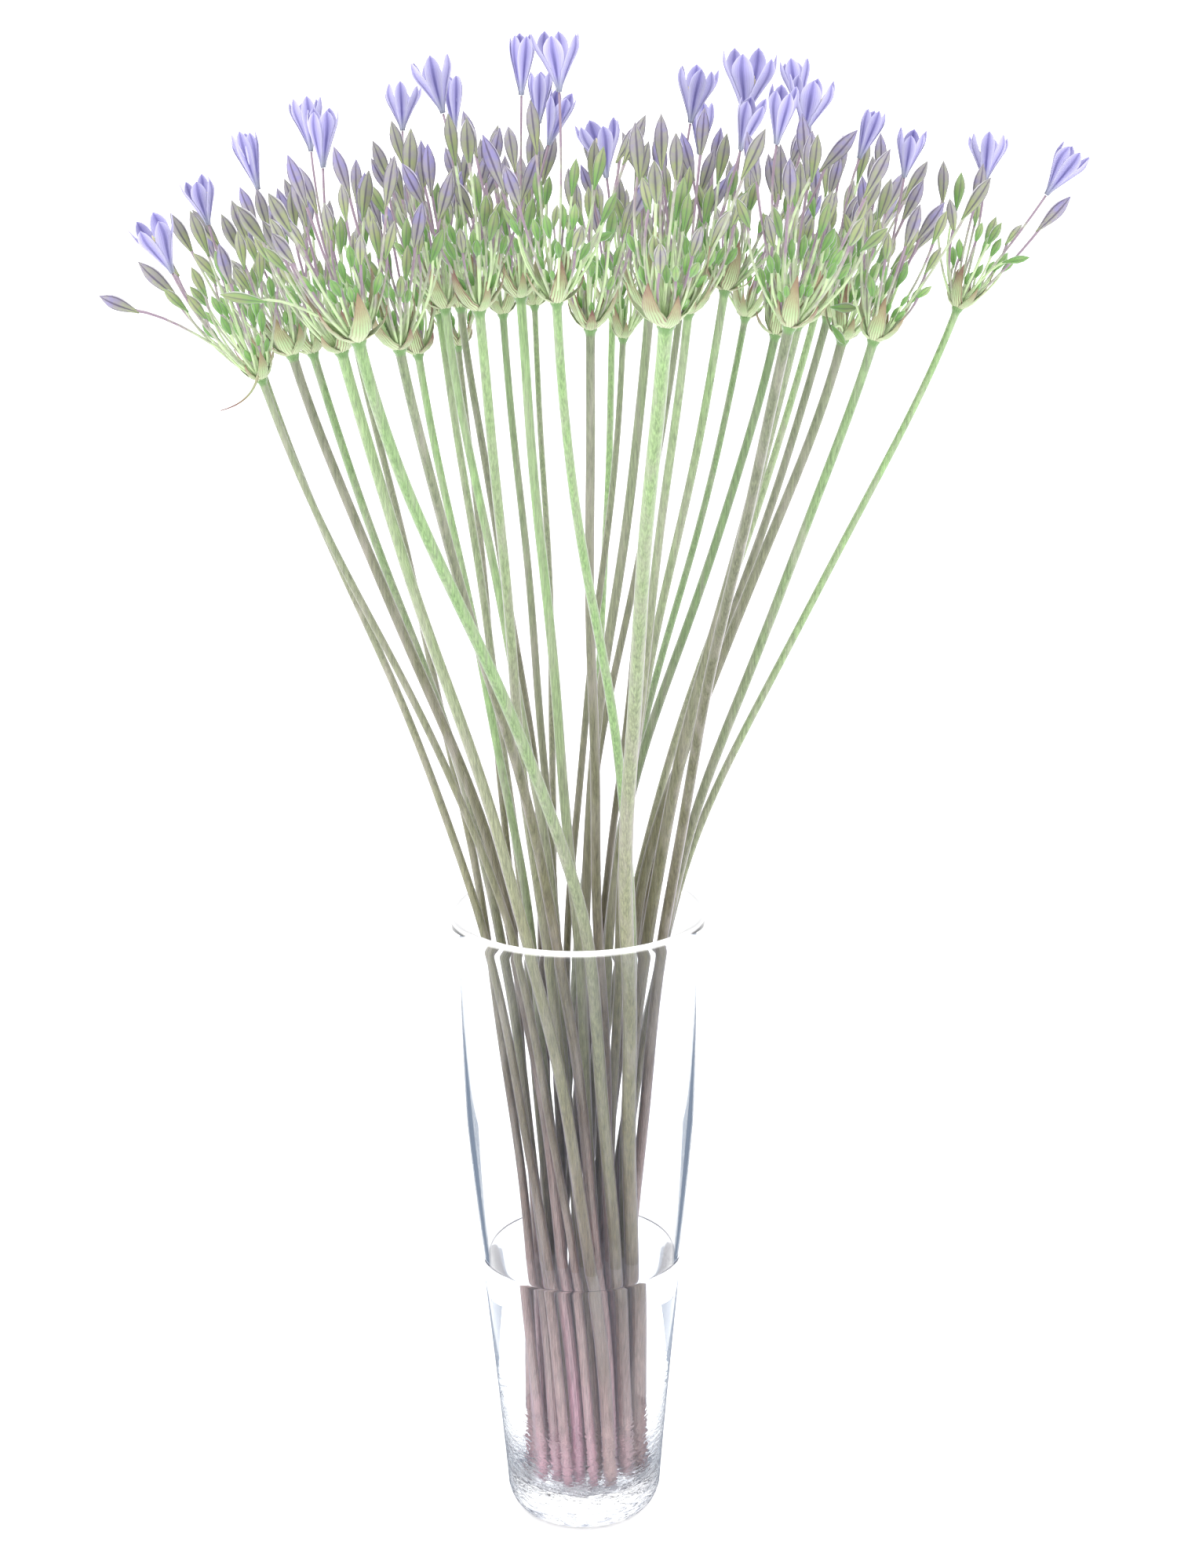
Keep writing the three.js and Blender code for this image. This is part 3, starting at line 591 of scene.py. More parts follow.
def turned_rings(profile):
    """Rings of a turned surface, from a profile of radius and height: (radius cos a, radius sin a,
    height)."""
    turn = round_the(VASE_CORNERS)
    radius, height = profile[:, 0, None], profile[:, 1, None]
    return np.stack([radius * np.cos(turn), radius * np.sin(turn), height + 0 * turn], axis=-1)[None]


# The two triangles of each square between rings, as steps along the line and round the ring
HALVES = np.array([[(0, 0), (0, 1), (1, 1)], [(0, 0), (1, 1), (1, 0)]])[:, None, None]


class Pile:
    """Surfaces of one piece gathered as arrays, each a grid of rings closed by a point at both
    ends."""

    def __init__(self):
        self.places, self.faces, self.kinds, self.uvs, self.tones, self.ripes = ([] for _ in range(6))
        self.count = 0

    def add(self, rings, kind=0, tone=0.5, ripe=0.0):
        """Adds lofts: rings is (lofts, rings, corners, 3). Faces join each ring to the next, and a
        fan closes each end. kind is the material's number, tone and ripe are one number for each
        loft or for each ring of each loft."""
        lofts, rows, corners, _ = rings.shape
        ends = np.stack([rings[:, 0].mean(axis=1), rings[:, -1].mean(axis=1)], axis=1)
        places = np.concatenate([rings.reshape(lofts, -1, 3), ends], axis=1)
        row, corner = np.meshgrid(np.arange(rows - 1), np.arange(corners), indexing="ij")
        row, corner = row[..., None] + HALVES[..., 0], corner[..., None] + HALVES[..., 1]
        faces = [(row * corners + corner % corners).reshape(-1, 3)]
        uvs = [np.stack([corner / corners, row / (rows - 1)], axis=-1).reshape(-1, 3, 2)]
        rim = np.arange(corners)[:, None]
        for end, steps in ((0, [1, 0]), (1, [0, 1])):
            ring = end * (rows - 1) * corners + (rim + steps) % corners
            faces.append(np.concatenate([0 * rim + rows * corners + end, ring], axis=1))
            u = np.concatenate([rim + 0.5, rim + steps], axis=1) / corners
            uvs.append(np.stack([u, end + 0 * u], axis=-1))
        faces, uvs = np.concatenate(faces), np.concatenate(uvs)
        starts = self.count + np.arange(lofts) * (rows * corners + 2)
        self.places.append(places.reshape(-1, 3))
        self.faces.append((faces[None] + starts[:, None, None]).reshape(-1, 3))
        self.kinds.append(np.full(lofts * len(faces), kind))
        self.uvs.append(np.tile(uvs, (lofts, 1, 1)))
        for kept, given in ((self.tones, tone), (self.ripes, ripe)):
            given = np.asarray(given, float)
            each = np.broadcast_to(given[..., None] if given.ndim < 2 else given, (lofts, rows))
            grid = np.repeat(each, corners, axis=1)
            kept.append(np.concatenate([grid, each[:, :1], each[:, -1:]], axis=1).reshape(-1))
        self.count += lofts * (rows * corners + 2)

    def piece(self, name, materials):
        """The finished piece, in metres, with its UV map, its two attributes and its materials."""
        places = np.concatenate(self.places) * MM
        faces = np.concatenate(self.faces)
        mesh = bpy.data.meshes.new(name)
        mesh.vertices.add(len(places))
        mesh.vertices.foreach_set("co", places.astype(np.float32).ravel())
        mesh.loops.add(faces.size)
        mesh.loops.foreach_set("vertex_index", faces.astype(np.int32).ravel())
        mesh.polygons.add(len(faces))
        mesh.polygons.foreach_set("loop_start", np.arange(0, faces.size, 3, dtype=np.int32))
        mesh.polygons.foreach_set("material_index", np.concatenate(self.kinds).astype(np.int32))
        uv = mesh.uv_layers.new(name="UVMap")
        uv.uv.foreach_set("vector", np.concatenate(self.uvs).astype(np.float32).ravel())
        for word, rows in (("tone", self.tones), ("ripe", self.ripes)):
            data = mesh.attributes.new(word, "FLOAT", "POINT").data
            data.foreach_set("value", np.concatenate(rows).astype(np.float32))
        mesh.update(calc_edges=True)
        mesh.validate()
        mesh.polygons.foreach_set("use_smooth", np.ones(len(mesh.polygons), bool))
        for material in materials:
            mesh.materials.append(material)
        return placed(name, mesh)


def placed(name, data):
    """An object of this name that holds the data, linked to the scene."""
    made = bpy.data.objects.new(name, data)
    bpy.context.scene.collection.objects.link(made)
    return made


def finished(made, slot, *nodes):
    """Lets a piece ride with the frame and stand for its nodes. Its slot is not used."""
    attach(made, "root")
    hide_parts(*nodes)
    return made


# Settings that nodes of a kind have here unless others are given, and which output a link takes
# where only the node is named, if not its first
USUAL = {"Mix": {"data_type": "RGBA"}, "Math": {"operation": "MULTIPLY"}, "UVMap": {"uv_map": "UVMap"}}
MAIN_OUTPUTS = {"ShaderNodeMix": 2, "ShaderNodeAttribute": "Fac", "ShaderNodeTexCoord": "Object"}


def add_node(tree, kind, inputs=(), stops=(), **settings):
    """Adds a node with its settings, its inputs in order or by name, and the stops of a colour
    ramp. An input is a value, or the node or output that is linked to it."""
    made = tree.nodes.new("ShaderNode" + kind)
    for name, value in {**USUAL.get(kind, {}), **settings}.items():
        setattr(made, name, value)
    for key, given in inputs.items() if isinstance(inputs, dict) else enumerate(inputs):
        if isinstance(given, bpy.types.Node):
            given = given.outputs[MAIN_OUTPUTS.get(given.bl_idname, 0)]
        if isinstance(given, bpy.types.NodeSocket):
            tree.links.new(given, made.inputs[key])
        else:
            made.inputs[key].default_value = given
    if stops:
        ramp = made.color_ramp
        while len(ramp.elements) < len(stops):
            ramp.elements.new(0.5)
        for element, (place, colour) in zip(ramp.elements, stops):
            element.position, element.color = place, colour
    return made


def new_material(name):
    """A new material with an empty tree, and the function that adds nodes to it."""
    material = bpy.data.materials.new(name)
    material.use_nodes = True
    material.node_tree.nodes.clear()
    return material, functools.partial(add_node, material.node_tree)


def covered(material, values):
    """Ends a material's tree in one Principled shader, and gives the material back."""
    shader = add_node(material.node_tree, "BsdfPrincipled", values)
    add_node(material.node_tree, "OutputMaterial", [shader])
    return material


def waves(add, place, rate):
    """Lines side by side: the cosine of a coordinate times a rate."""
    return add("Math", [add("Math", [place, rate])], operation="COSINE")


def blown_glass():
    """Clear soda-lime glass, blown in a mould and fire-polished: sharp reflections, edges that
    darken only where they bend the view away from the light, streaks of cord in the thick foot
    with painted grey shade along them, and a rim with a painted glow that stands for the light its
    wall carries up. Its reflections are toned down, because the room before it is as white as the
    one behind it."""
    sizes = bpy.context.scene.vase_sizes
    material, add = new_material("Soda-lime glass, blown and fire-polished")
    place = add("TexCoord")
    height = add("SeparateXYZ", [place]).outputs["Z"]
    # A painted glow on the rim, for the light its wall carries up, comes in over 1 mm, under the top 1.8
    # mm
    painted_rim_glow = add("MapRange", [height, sizes.height - 0.0028, sizes.height - 0.0018, 0.0, 0.75])
    # Cords about 8 mm long and 3 mm high, which fade out 70 mm up, break the foot's reflections
    # into streaks
    flat = add("Mapping", {"Vector": place, "Scale": (1.0, 1.0, 3.0)})
    cord = add("TexNoise", {"Vector": flat, "Scale": 120.0, "Detail": 2.0, "Distortion": 1.2})
    low = add("MapRange", [height, 0.07, 0.01, 0.0, 0.6])
    bump = add("Bump", {"Height": cord, "Strength": low, "Distance": 0.0012})
    # Painted grey shade: the thickest 20 mm look grey where the cord streaks are
    thick = add("MapRange", [height, 0.022, 0.004, 0.0, 1.0])
    cord_shade_streak = add("MapRange", [cord, 0.48, 0.62, 0.05, 0.9])
    share = add("Math", [thick, cord_shade_streak])
    body = add("Mix", {0: share, 6: sizes.glass, 7: sizes.cord_shade_tint})
    return covered(material, {
        "Base Color": body, "Roughness": 0.0, "IOR": 1.5, "Transmission Weight": 1.0,
        "Specular Tint": (0.35, 0.37, 0.42, 1.0), "Emission Color": (1.0, 1.0, 1.0, 1.0),
        "Emission Strength": painted_rim_glow, "Normal": bump,
    })


def still_water():
    """Fresh water, still: no colour at this depth and a bright skin where it meets the glass. Its
    index is 1.15 and not 1.333, because with the real one the light between water and glass runs
    out of bounces and goes grey, and the bunch looks too wide. A faint painted glow stands for
    the light that the haze of cut-flower water scatters."""
    material, _ = new_material("Fresh water, still")
    return covered(material, {
        "Base Color": bpy.context.scene.vase_sizes.water, "Roughness": 0.0, "IOR": 1.15,
        # The emission is a painted glow for light scattered in the haze
        "Transmission Weight": 1.0, "Emission Color": (0.9, 0.84, 0.92, 1.0),
        "Emission Strength": 0.045,
    })


def scape_skin():
    """Living stem skin, waxy and finely ribbed along its length: fresh green by the head, olive
    and purple-brown lower down, pink at the cut end, finely mottled and streaked with wax."""
    colours = bpy.context.scene.stem_sizes
    material, add = new_material("Brodiaea scape, waxy green skin")
    place = add("TexCoord")
    height = add("SeparateXYZ", [place]).outputs["Z"]
    tone = add("Attribute", attribute_name="tone")
    ring = add("Attribute", attribute_name="ripe")
    # Each stem stretches the colour bands its own way, and clouds about 25 mm across shift them
    cloud = add("TexNoise", {"Vector": place, "Scale": 40.0, "Detail": 2.0})
    late = add("Math", [tone, 5.0], operation="POWER")
    stretch = add("Math", [late, 0.6, 0.78], operation="MULTIPLY_ADD")
    level = add("Math", [height, stretch])
    # A second number for each stem, from its first, lifts the bands by up to 110 mm: some ends
    # are pink, some olive
    pick = add("Math", [add("Math", [tone, 7.3])], operation="FRACT")
    lifted = add("Math", [pick, 0.11, level], operation="MULTIPLY_ADD")
    shifted = add("Math", [cloud, 0.07, lifted], operation="MULTIPLY_ADD")
    # Heights in metres, over the whole 0.6 m of a stem
    bands = add("MapRange", [shifted, 0.05, 0.66])
    body = add("ValToRGB", [bands], [
        (0.04, colours.pink), (0.16, colours.rosy), (0.29, colours.brown), (0.44, colours.dull),
        (0.65, colours.olive), (0.9, colours.fresh),
    ])
    # Mottling 0.7 mm across, drawn out to 8 mm along the stem
    drawn = add("Mapping", {"Vector": place, "Scale": (1.0, 1.0, 0.08)})
    fleck = add("TexNoise", {"Vector": drawn, "Scale": 1500.0, "Detail": 3.0, "Roughness": 0.6})
    depth = add("MapRange", [fleck, 0.3, 0.7, 0.6, 1.32])
    # The same numbers make some stems a third darker than others
    shade = add("MapRange", [pick, 0.0, 1.0, 0.78, 1.28])
    both = add("Math", [depth, shade])
    mottled = add("Mix", {0: 1.0, 6: body, 7: both}, blend_type="MULTIPLY")
    # A mauve wax bloom in streaks about 4.5 mm wide and 55 mm long
    wipe = add("TexNoise", {"Vector": drawn, "Scale": 220.0, "Detail": 2.0})
    waxy = add("MapRange", [wipe, 0.45, 0.75, 0.0, 0.38])
    bloomed = add("Mix", {0: waxy, 6: mottled, 7: colours.wax})
    ringed = add("Mix", {0: ring, 6: bloomed, 7: colours.collar})
    # Sixteen fine ribs round the stem
    around = add("SeparateXYZ", [add("UVMap")]).outputs["X"]
    wave = waves(add, around, 16 * TURN)
    relief = add("Math", [wave, fleck], operation="ADD")
    bump = add("Bump", {"Height": relief, "Strength": 0.35, "Distance": 0.00025})
    gloss = add("MapRange", [fleck, 0.3, 0.7, 0.42, 0.62])
    return covered(material, {
        "Base Color": ringed, "Roughness": gloss, "Normal": bump, "IOR": 1.42, "Sheen Weight": 0.9,
        "Sheen Roughness": 0.35, "Sheen Tint": linear("#ddd2e6"), "Coat Weight": 0.8,
        "Coat Roughness": 0.2,
    })


def pedicel_skin():
    """Thin living stalks, smooth and faintly waxy: green ones and purple ones, darker by the bud."""
    colours = bpy.context.scene.head_sizes
    material, add = new_material("Brodiaea pedicel, smooth skin")
    tone = add("Attribute", attribute_name="tone")
    along = add("SeparateXYZ", [add("UVMap")]).outputs["Y"]
    # Clouds about 6 mm long shift where green turns to purple
    cloud = add("TexNoise", {"Vector": add("TexCoord"), "Scale": 180.0, "Detail": 2.0})
    purple = add("Math", [along, tone, cloud], operation="MULTIPLY_ADD")
    share = add("MapRange", [purple, 0.55, 1.1])
    body = add("Mix", {0: share, 6: colours.green_pedicel, 7: colours.purple_pedicel})
    bump = add("Bump", {"Height": cloud, "Strength": 0.2, "Distance": 0.0001})
    return covered(material, {
        "Base Color": body, "Roughness": 0.5, "Normal": bump, "IOR": 1.42, "Coat Weight": 0.5,
        "Coat Roughness": 0.25, "Sheen Weight": 0.3, "Sheen Roughness": 0.5,
        "Sheen Tint": linear("#f2f2e6"),
    })


def bud_skin():
    """Closed tepals, satin, six of them edge to edge: each has a dark rib, and the whole bud goes
    from leaf green to grey violet as it ripens, from the tip down."""
    colours = bpy.context.scene.head_sizes
    material, add = new_material("Brodiaea bud, closed tepals")
    ripe = add("Attribute", attribute_name="ripe")
    tone = add("Attribute", attribute_name="tone")
    around, along, _ = add("SeparateXYZ", [add("UVMap")]).outputs
    # Blotches about 3 mm across, and a greener foot
    cloud = add("TexNoise", {"Vector": add("TexCoord"), "Scale": 320.0, "Detail": 3.0})
    upward = add("MapRange", [along, 0.0, 0.6, -0.42, 0.0])
    blotch = add("MapRange", [cloud, 0.3, 0.7, -0.12, 0.12])
    soft = add("Math", [upward, blotch], operation="ADD")
    share = add("Math", [ripe, soft], operation="ADD", use_clamp=True)
    body = add("ValToRGB", [share], [
        (0.0, colours.unripe), (0.45, colours.olive_bud), (0.78, colours.ripe),
        (1.0, colours.violet_bud),
    ])
    # Six dark ribs, stronger on ripe buds
    wave = waves(add, around, 6 * TURN)
    line = add("MapRange", [wave, 0.25, 0.95, 0.0, 0.85])
    strength = add("MapRange", [ripe, 0.0, 0.8, 0.3, 1.0])
    dark = add("Math", [line, strength])
    ribbed = add("Mix", {0: dark, 6: body, 7: colours.ribs})
    shade = add("MapRange", [tone, 0.0, 1.0, 0.82, 1.2])
    varied = add("Mix", {0: 1.0, 6: ribbed, 7: shade}, blend_type="MULTIPLY")
    # Veins 0.4 mm apart between the ribs
    veins = add("Math", [add("Math", [around, 48 * TURN])], operation="SINE")
    bump = add("Bump", {"Height": veins, "Strength": 0.25, "Distance": 0.0001})
    return covered(material, {
        "Base Color": varied, "Roughness": 0.48, "Normal": bump, "IOR": 1.4, "Coat Weight": 0.5,
        "Coat Roughness": 0.25, "Sheen Weight": 0.8, "Sheen Roughness": 0.35,
        "Sheen Tint": linear("#f3efff"),
    })


def bract_paper():
    """Dry papery bracts, thin and matt: cream and pale green, with purple-brown veins along them
    that run together at the edges and the tip."""
    colours = bpy.context.scene.head_sizes
    material, add = new_material("Brodiaea bract, dry and papery")
    around, along, _ = add("SeparateXYZ", [add("UVMap")]).outputs
    tone = add("Attribute", attribute_name="tone")
    across = waves(add, around, TURN)
    # Seven veins over a bract 8 mm wide
    wave = waves(add, across, 22.0)
    vein = add("MapRange", [wave, 0.2, 1.0, 0.0, 0.7])
    edge = add("Math", [across, 4.0], operation="POWER")
    tip = add("MapRange", [along, 0.35, 1.0, 0.0, 0.75])
    most = add("Math", [vein, tip], operation="MAXIMUM")
    rim = add("Math", [edge, 0.3, most], operation="MULTIPLY_ADD")
    # Clouds about 4 mm across break them up
    cloud = add("TexNoise", {"Vector": add("TexCoord"), "Scale": 260.0, "Detail": 3.0})
    worn = add("Math", [rim, cloud])
    share = add("Math", [worn, tone])
    doubled = add("Math", [share, 2.6], use_clamp=True)
    blade = add("ValToRGB", [along], [(0.0, colours.paper), (0.35, colours.bract), (1.0, colours.dry)])
    body = add("Mix", {0: doubled, 6: blade, 7: colours.vein})
    bump = add("Bump", {"Height": wave, "Strength": 0.5, "Distance": 0.0002})
    return covered(material, {
        "Base Color": body, "Roughness": 0.7, "Normal": bump, "IOR": 1.4, "Sheen Weight": 0.3,
    })


def tepal_skin():
    """Thin live petals, satin: violet blue with a dark midrib, fine veins and pale margins,
    greenish at the foot of the tube."""
    colours = bpy.context.scene.flower_sizes
    material, add = new_material("Brodiaea tepal, thin and satin")
    around, along, _ = add("SeparateXYZ", [add("UVMap")]).outputs
    tone = add("Attribute", attribute_name="tone")
    across = waves(add, around, TURN)
    aside = add("Math", [across], operation="ABSOLUTE")
    margin = add("MapRange", [aside, 0.2, 0.95, 0.0, 0.85])
    body = add("Mix", {0: margin, 6: colours.violet, 7: colours.pale})
    # Veins about 0.7 mm apart
    wave = waves(add, across, 30.0)
    veined = add("MapRange", [wave, 0.4, 1.0, 1.0, 0.88])
    lined = add("Mix", {0: 1.0, 6: body, 7: veined}, blend_type="MULTIPLY")
    # The midrib fades towards the tip
    rib = add("MapRange", [aside, 0.08, 0.26, 0.9, 0.0])
    fade = add("MapRange", [along, 0.5, 1.0, 1.0, 0.35])
    dark = add("Math", [rib, fade])
    ribbed = add("Mix", {0: dark, 6: lined, 7: colours.midrib})
    foot = add("MapRange", [along, 0.05, 0.32, 0.75, 0.0])
    based = add("Mix", {0: foot, 6: ribbed, 7: colours.tube})
    shade = add("MapRange", [tone, 0.0, 1.0, 0.9, 1.08])
    varied = add("Mix", {0: 1.0, 6: based, 7: shade}, blend_type="MULTIPLY")
    bump = add("Bump", {"Height": wave, "Strength": 0.3, "Distance": 0.00015})
    return covered(material, {
        "Base Color": varied, "Roughness": 0.5, "Normal": bump, "IOR": 1.4, "Sheen Weight": 0.4,
        "Sheen Tint": linear("#f1eeff"),
    })


def pollen_sacs():
    """Anthers and the staminodes: matt, cream, finely grained with pollen, drawn as grains 0.3 mm
    across so that they show."""
    colours = bpy.context.scene.flower_sizes
    material, add = new_material("Brodiaea anther, cream pollen")
    grain = add("TexNoise", {"Vector": add("TexCoord"), "Scale": 3000.0, "Detail": 1.0})
    body = add("Mix", {0: grain, 6: colours.anther, 7: colours.pollen})
    bump = add("Bump", {"Height": grain, "Strength": 0.4, "Distance": 0.0001})
    return covered(material, {"Base Color": body, "Roughness": 0.8, "Normal": bump})


def light_table():
    """Opal acrylic of a light table, sanded matt and lit from below: an even white glow. The
    sanding is drawn as clouds 2.5 mm across so that it shows."""
    material, add = new_material("Opal acrylic, sanded, lit from below")
    grain = add("TexNoise", {"Vector": add("TexCoord"), "Scale": 400.0, "Detail": 2.0})
    body = add("Mix", {0: grain, 6: linear("#fbfbfb"), 7: linear("#f6f6f7")})
    return covered(material, {
        "Base Color": body, "Roughness": 0.95, "Specular IOR Level": 0.1,
        "Emission Color": linear("#ffffff"), "Emission Strength": 0.15,
    })


def shade_flag_cloth():
    """Slate grey studio cloth, woven and matt, that only the glass sees: it paints dark reflections
    along the glass's edges and shade into the corners of its foot.
    """
    material, _ = new_material("Shade flag, slate grey cloth")
    return covered(material, {
        "Base Color": linear("#66707f"), "Roughness": 1.0, "Specular IOR Level": 0.0,
    })


def outside_radius(z):
    """Outer radius of the vase at heights z in millimetres: a cubic through its measured widths."""
    return np.polyval(np.polyfit(GLASS_OUTSIDE[:, 1], GLASS_OUTSIDE[:, 0], 3), z)


def turned_piece(name, profile, material, slot, node):
    """A piece turned from its profile, which casts no shadow, because light goes through it."""
    pile = Pile()
    pile.add(turned_rings(np.concatenate(profile)))
    made = finished(pile.piece(name, [material]), slot, node)
    made.visible_shadow = False


class BRODIAEA_OT_vase(bpy.types.Operator):
    """The glass vase: a turned surface, up the outside from the middle of the foot, over the
    rounded rim, down the inside and over the thick rounded floor"""

    bl_idname = "brodiaea.vase"
    bl_label = "Glass vase"

    def execute(self, context):
        sizes = context.scene.vase_sizes
        wall, top, floor = sizes.wall / MM, sizes.height / MM, sizes.bottom / MM
        corner = sizes.corner / MM
        z = np.linspace(GLASS_OUTSIDE[0, 1], top - wall / 2, 60)
        outside = np.stack([outside_radius(z), z], axis=1)
        middle = outside_radius(z[-1]) - wall / 2
        over = np.linspace(0, math.pi, 9)[1:-1]
        rim = np.stack([middle + wall / 2 * np.cos(over), z[-1] + wall / 2 * np.sin(over)], axis=1)
        down = np.linspace(z[-1], floor + corner, 60)
        inside = np.stack([outside_radius(down) - wall, down], axis=1)
        sweep = np.linspace(0, math.pi / 2, 9)[1:]
        edge = inside[-1, 0] - corner
        hollow = np.stack([edge + corner * np.cos(sweep), floor + corner - corner * np.sin(sweep)], axis=1)
        # The inside floor is very slightly domed
        dome = np.array([[edge - 8, floor + 0.1], [10, floor + 0.5], [0.5, floor + 0.6]])
        profile = [HEEL, outside, rim, inside, hollow, dome]
        turned_piece("glass_vase", profile, blown_glass(), "glass", "vase")
        return {"FINISHED"}


class BRODIAEA_OT_water(bpy.types.Operator):
    """The water: a turned surface just inside the glass, with a skin that climbs at its edge as
    the exponential of the distance from the glass"""

    bl_idname = "brodiaea.water"
    bl_label = "Water"

    def execute(self, context):
        sizes = context.scene.vase_sizes
        wall, level, floor = sizes.wall / MM, sizes.level / MM, sizes.bottom / MM
        corner, climb = sizes.corner / MM, sizes.climb / MM
        edge = outside_radius(floor + corner) - wall - corner
        sweep = np.linspace(math.pi / 2, 0, 9)
        turned = corner + WATER_INTO_GLASS
        hollow = [edge + turned * np.cos(sweep), floor + corner - turned * np.sin(sweep)]
        z = np.linspace(floor + corner + 3, level + climb, 60)
        side = [outside_radius(z) - wall + WATER_INTO_GLASS, z]
        away = np.array([0.5, 1.2, 2.2, 3.6, 5.5, 8.0])
        flat = level - SKIN_SAG
        skin = [side[0][-1] - away, flat + (climb + SKIN_SAG) * np.exp(-away / 1.3)]
        foot, middle = [[0.5, floor + 0.5], [10, floor + 0.3]], [[20, flat], [0.5, flat]]
        profile = [foot, np.stack(hollow, axis=1), np.stack(side, axis=1), np.stack(skin, axis=1), middle]
        turned_piece("water_body", profile, still_water(), "water", "water")
        return {"FINISHED"}


def add_scape(pile, i):
    """The scape: a round rod with five faint ridges, tapering upwards, that swells into a collar.
    Its radius is half the top diameter plus the growth times how far down it is."""
    sizes = bpy.context.scene.stem_sizes
    top, radius = STEMS[i, 2], STEMS[i, 3] / 2
    z = np.concatenate([
        np.linspace(STEM_FOOT_Z, top - 4, 70), top - np.array([3.0, 2.2, 1.5, 0.9, 0.4, 0.0]),
    ])
    share = (z - STEM_FOOT_Z) / (top - STEM_FOOT_Z)
    line = stem_centre(i, z)
    # Two slow waves of 23 and 17 radians over the stem's length, none at its ends
    wave = np.sin(share[:, None] * np.array([23.0, 17.0]) + ANY_TURN * draws(i, 30, 2))
    line[:, :2] += sizes.wander / MM * wave * (np.sin(math.pi * share) ** 0.5)[:, None]
    swell = np.interp(top - z, [0, 0.5, 1.6, 2.6, 5], [0.75, 1.0, 0.85, 0.2, 0.0])
    radii = radius + sizes.growth / MM / 2 * (1 - share) + swell
    ridges = 1 + 0.025 * np.cos(5 * round_the(SCAPE_CORNERS) + ANY_TURN * draw(i, 33))
    collar = np.interp(top - z, [0, 2.6, 4], [1.0, 1.0, 0.0])
    rings = round_rings(line[None], radii[None], (1.0, 0, 0), SCAPE_CORNERS, ridges)
    pile.add(rings, SCAPE, tone=draw(i, 34), ripe=collar[None])


def add_bracts(pile, i):
    """Six bracts that cup the pedicels, three long and three short between them, larger on thicker
    stems: each is a boat-shaped blade whose middle line leaves the collar, bulges outwards and
    rises to its point."""
    wall = bpy.context.scene.head_sizes.bract_wall / MM
    axis = head_frame(i)[0]
    ring = STEMS[i, 3] / 2 + 0.6 * COLLAR_OVERHANG
    size = np.clip(STEMS[i, 3] / 3.8, 0.78, 1.35) * (0.9 + 0.2 * draw(i, 91))
    order = np.arange(6)
    large = order % 2 == 0
    vary, curl = draws(i, 1200, 6), draws(i, 1220, 6)
    turn = np.radians(60 * order + 120 * draw(i, 92) + 34 * (draws(i, 1210, 6) - 0.5))
    tall = BRACT_LENGTH * size * np.where(large, 0.78 + 0.42 * vary, 0.4 + 0.35 * vary)
    t = np.linspace(0, 1, 13)
    spots = [0, 0.08, 0.25, 0.5, 0.75, 1]
    bulge = np.interp(t, spots, [-0.6, 1.0, 4.3, 7.4, 8.9, 9.4])
    out = bulge[None] * (size * np.where(large, 1, 0.85))[:, None]
    out = out * (0.75 + 0.35 * curl)[:, None] + (3.2 * (curl - 0.55))[:, None] * t**3
    up = -1.0 + (tall[:, None] + 1.0) * np.interp(t, spots, [0, 0.05, 0.2, 0.47, 0.74, 1])[None]
    away = aimed(i, np.full(6, math.pi / 2), turn)
    lines = STEMS[i, :3] + axis * up[..., None] + away[:, None, :] * (ring + out)[..., None]
    shape = np.interp(t, [0, 0.15, 0.4, 0.7, 0.9, 1], [0.75, 1.0, 0.9, 0.52, 0.2, 0.03])
    widths = shape[None] * (size * np.where(large, 3.7, 2.3))[:, None]
    cups = widths**2 / (1.5 * (ring + np.maximum(out, 0.5) * 0.7 + 1.0))
    side = np.cross(axis, away)[:, None, :]
    rings = blade_rings(lines, widths, cups, wall, side, BRACT_CORNERS)
    pile.add(rings, BRACT, tone=0.35 + 0.65 * draws(i, 1230, 6))


def spindle_share(v):
    """Radius of a bud at v along it, as a share of its widest: from a narrow neck it swells as a
    sine to the power 1.4, is widest at 0.6, and closes as a cosine to its point."""
    swell = 0.17 + 0.83 * np.sin(np.minimum(v / BUD_WIDEST, 1) * math.pi / 2) ** 1.4
    point = np.cos(np.clip((v - BUD_WIDEST) / (1 - BUD_WIDEST), 0, 1) * math.pi / 2)
    return np.maximum(swell * point, 0.03)


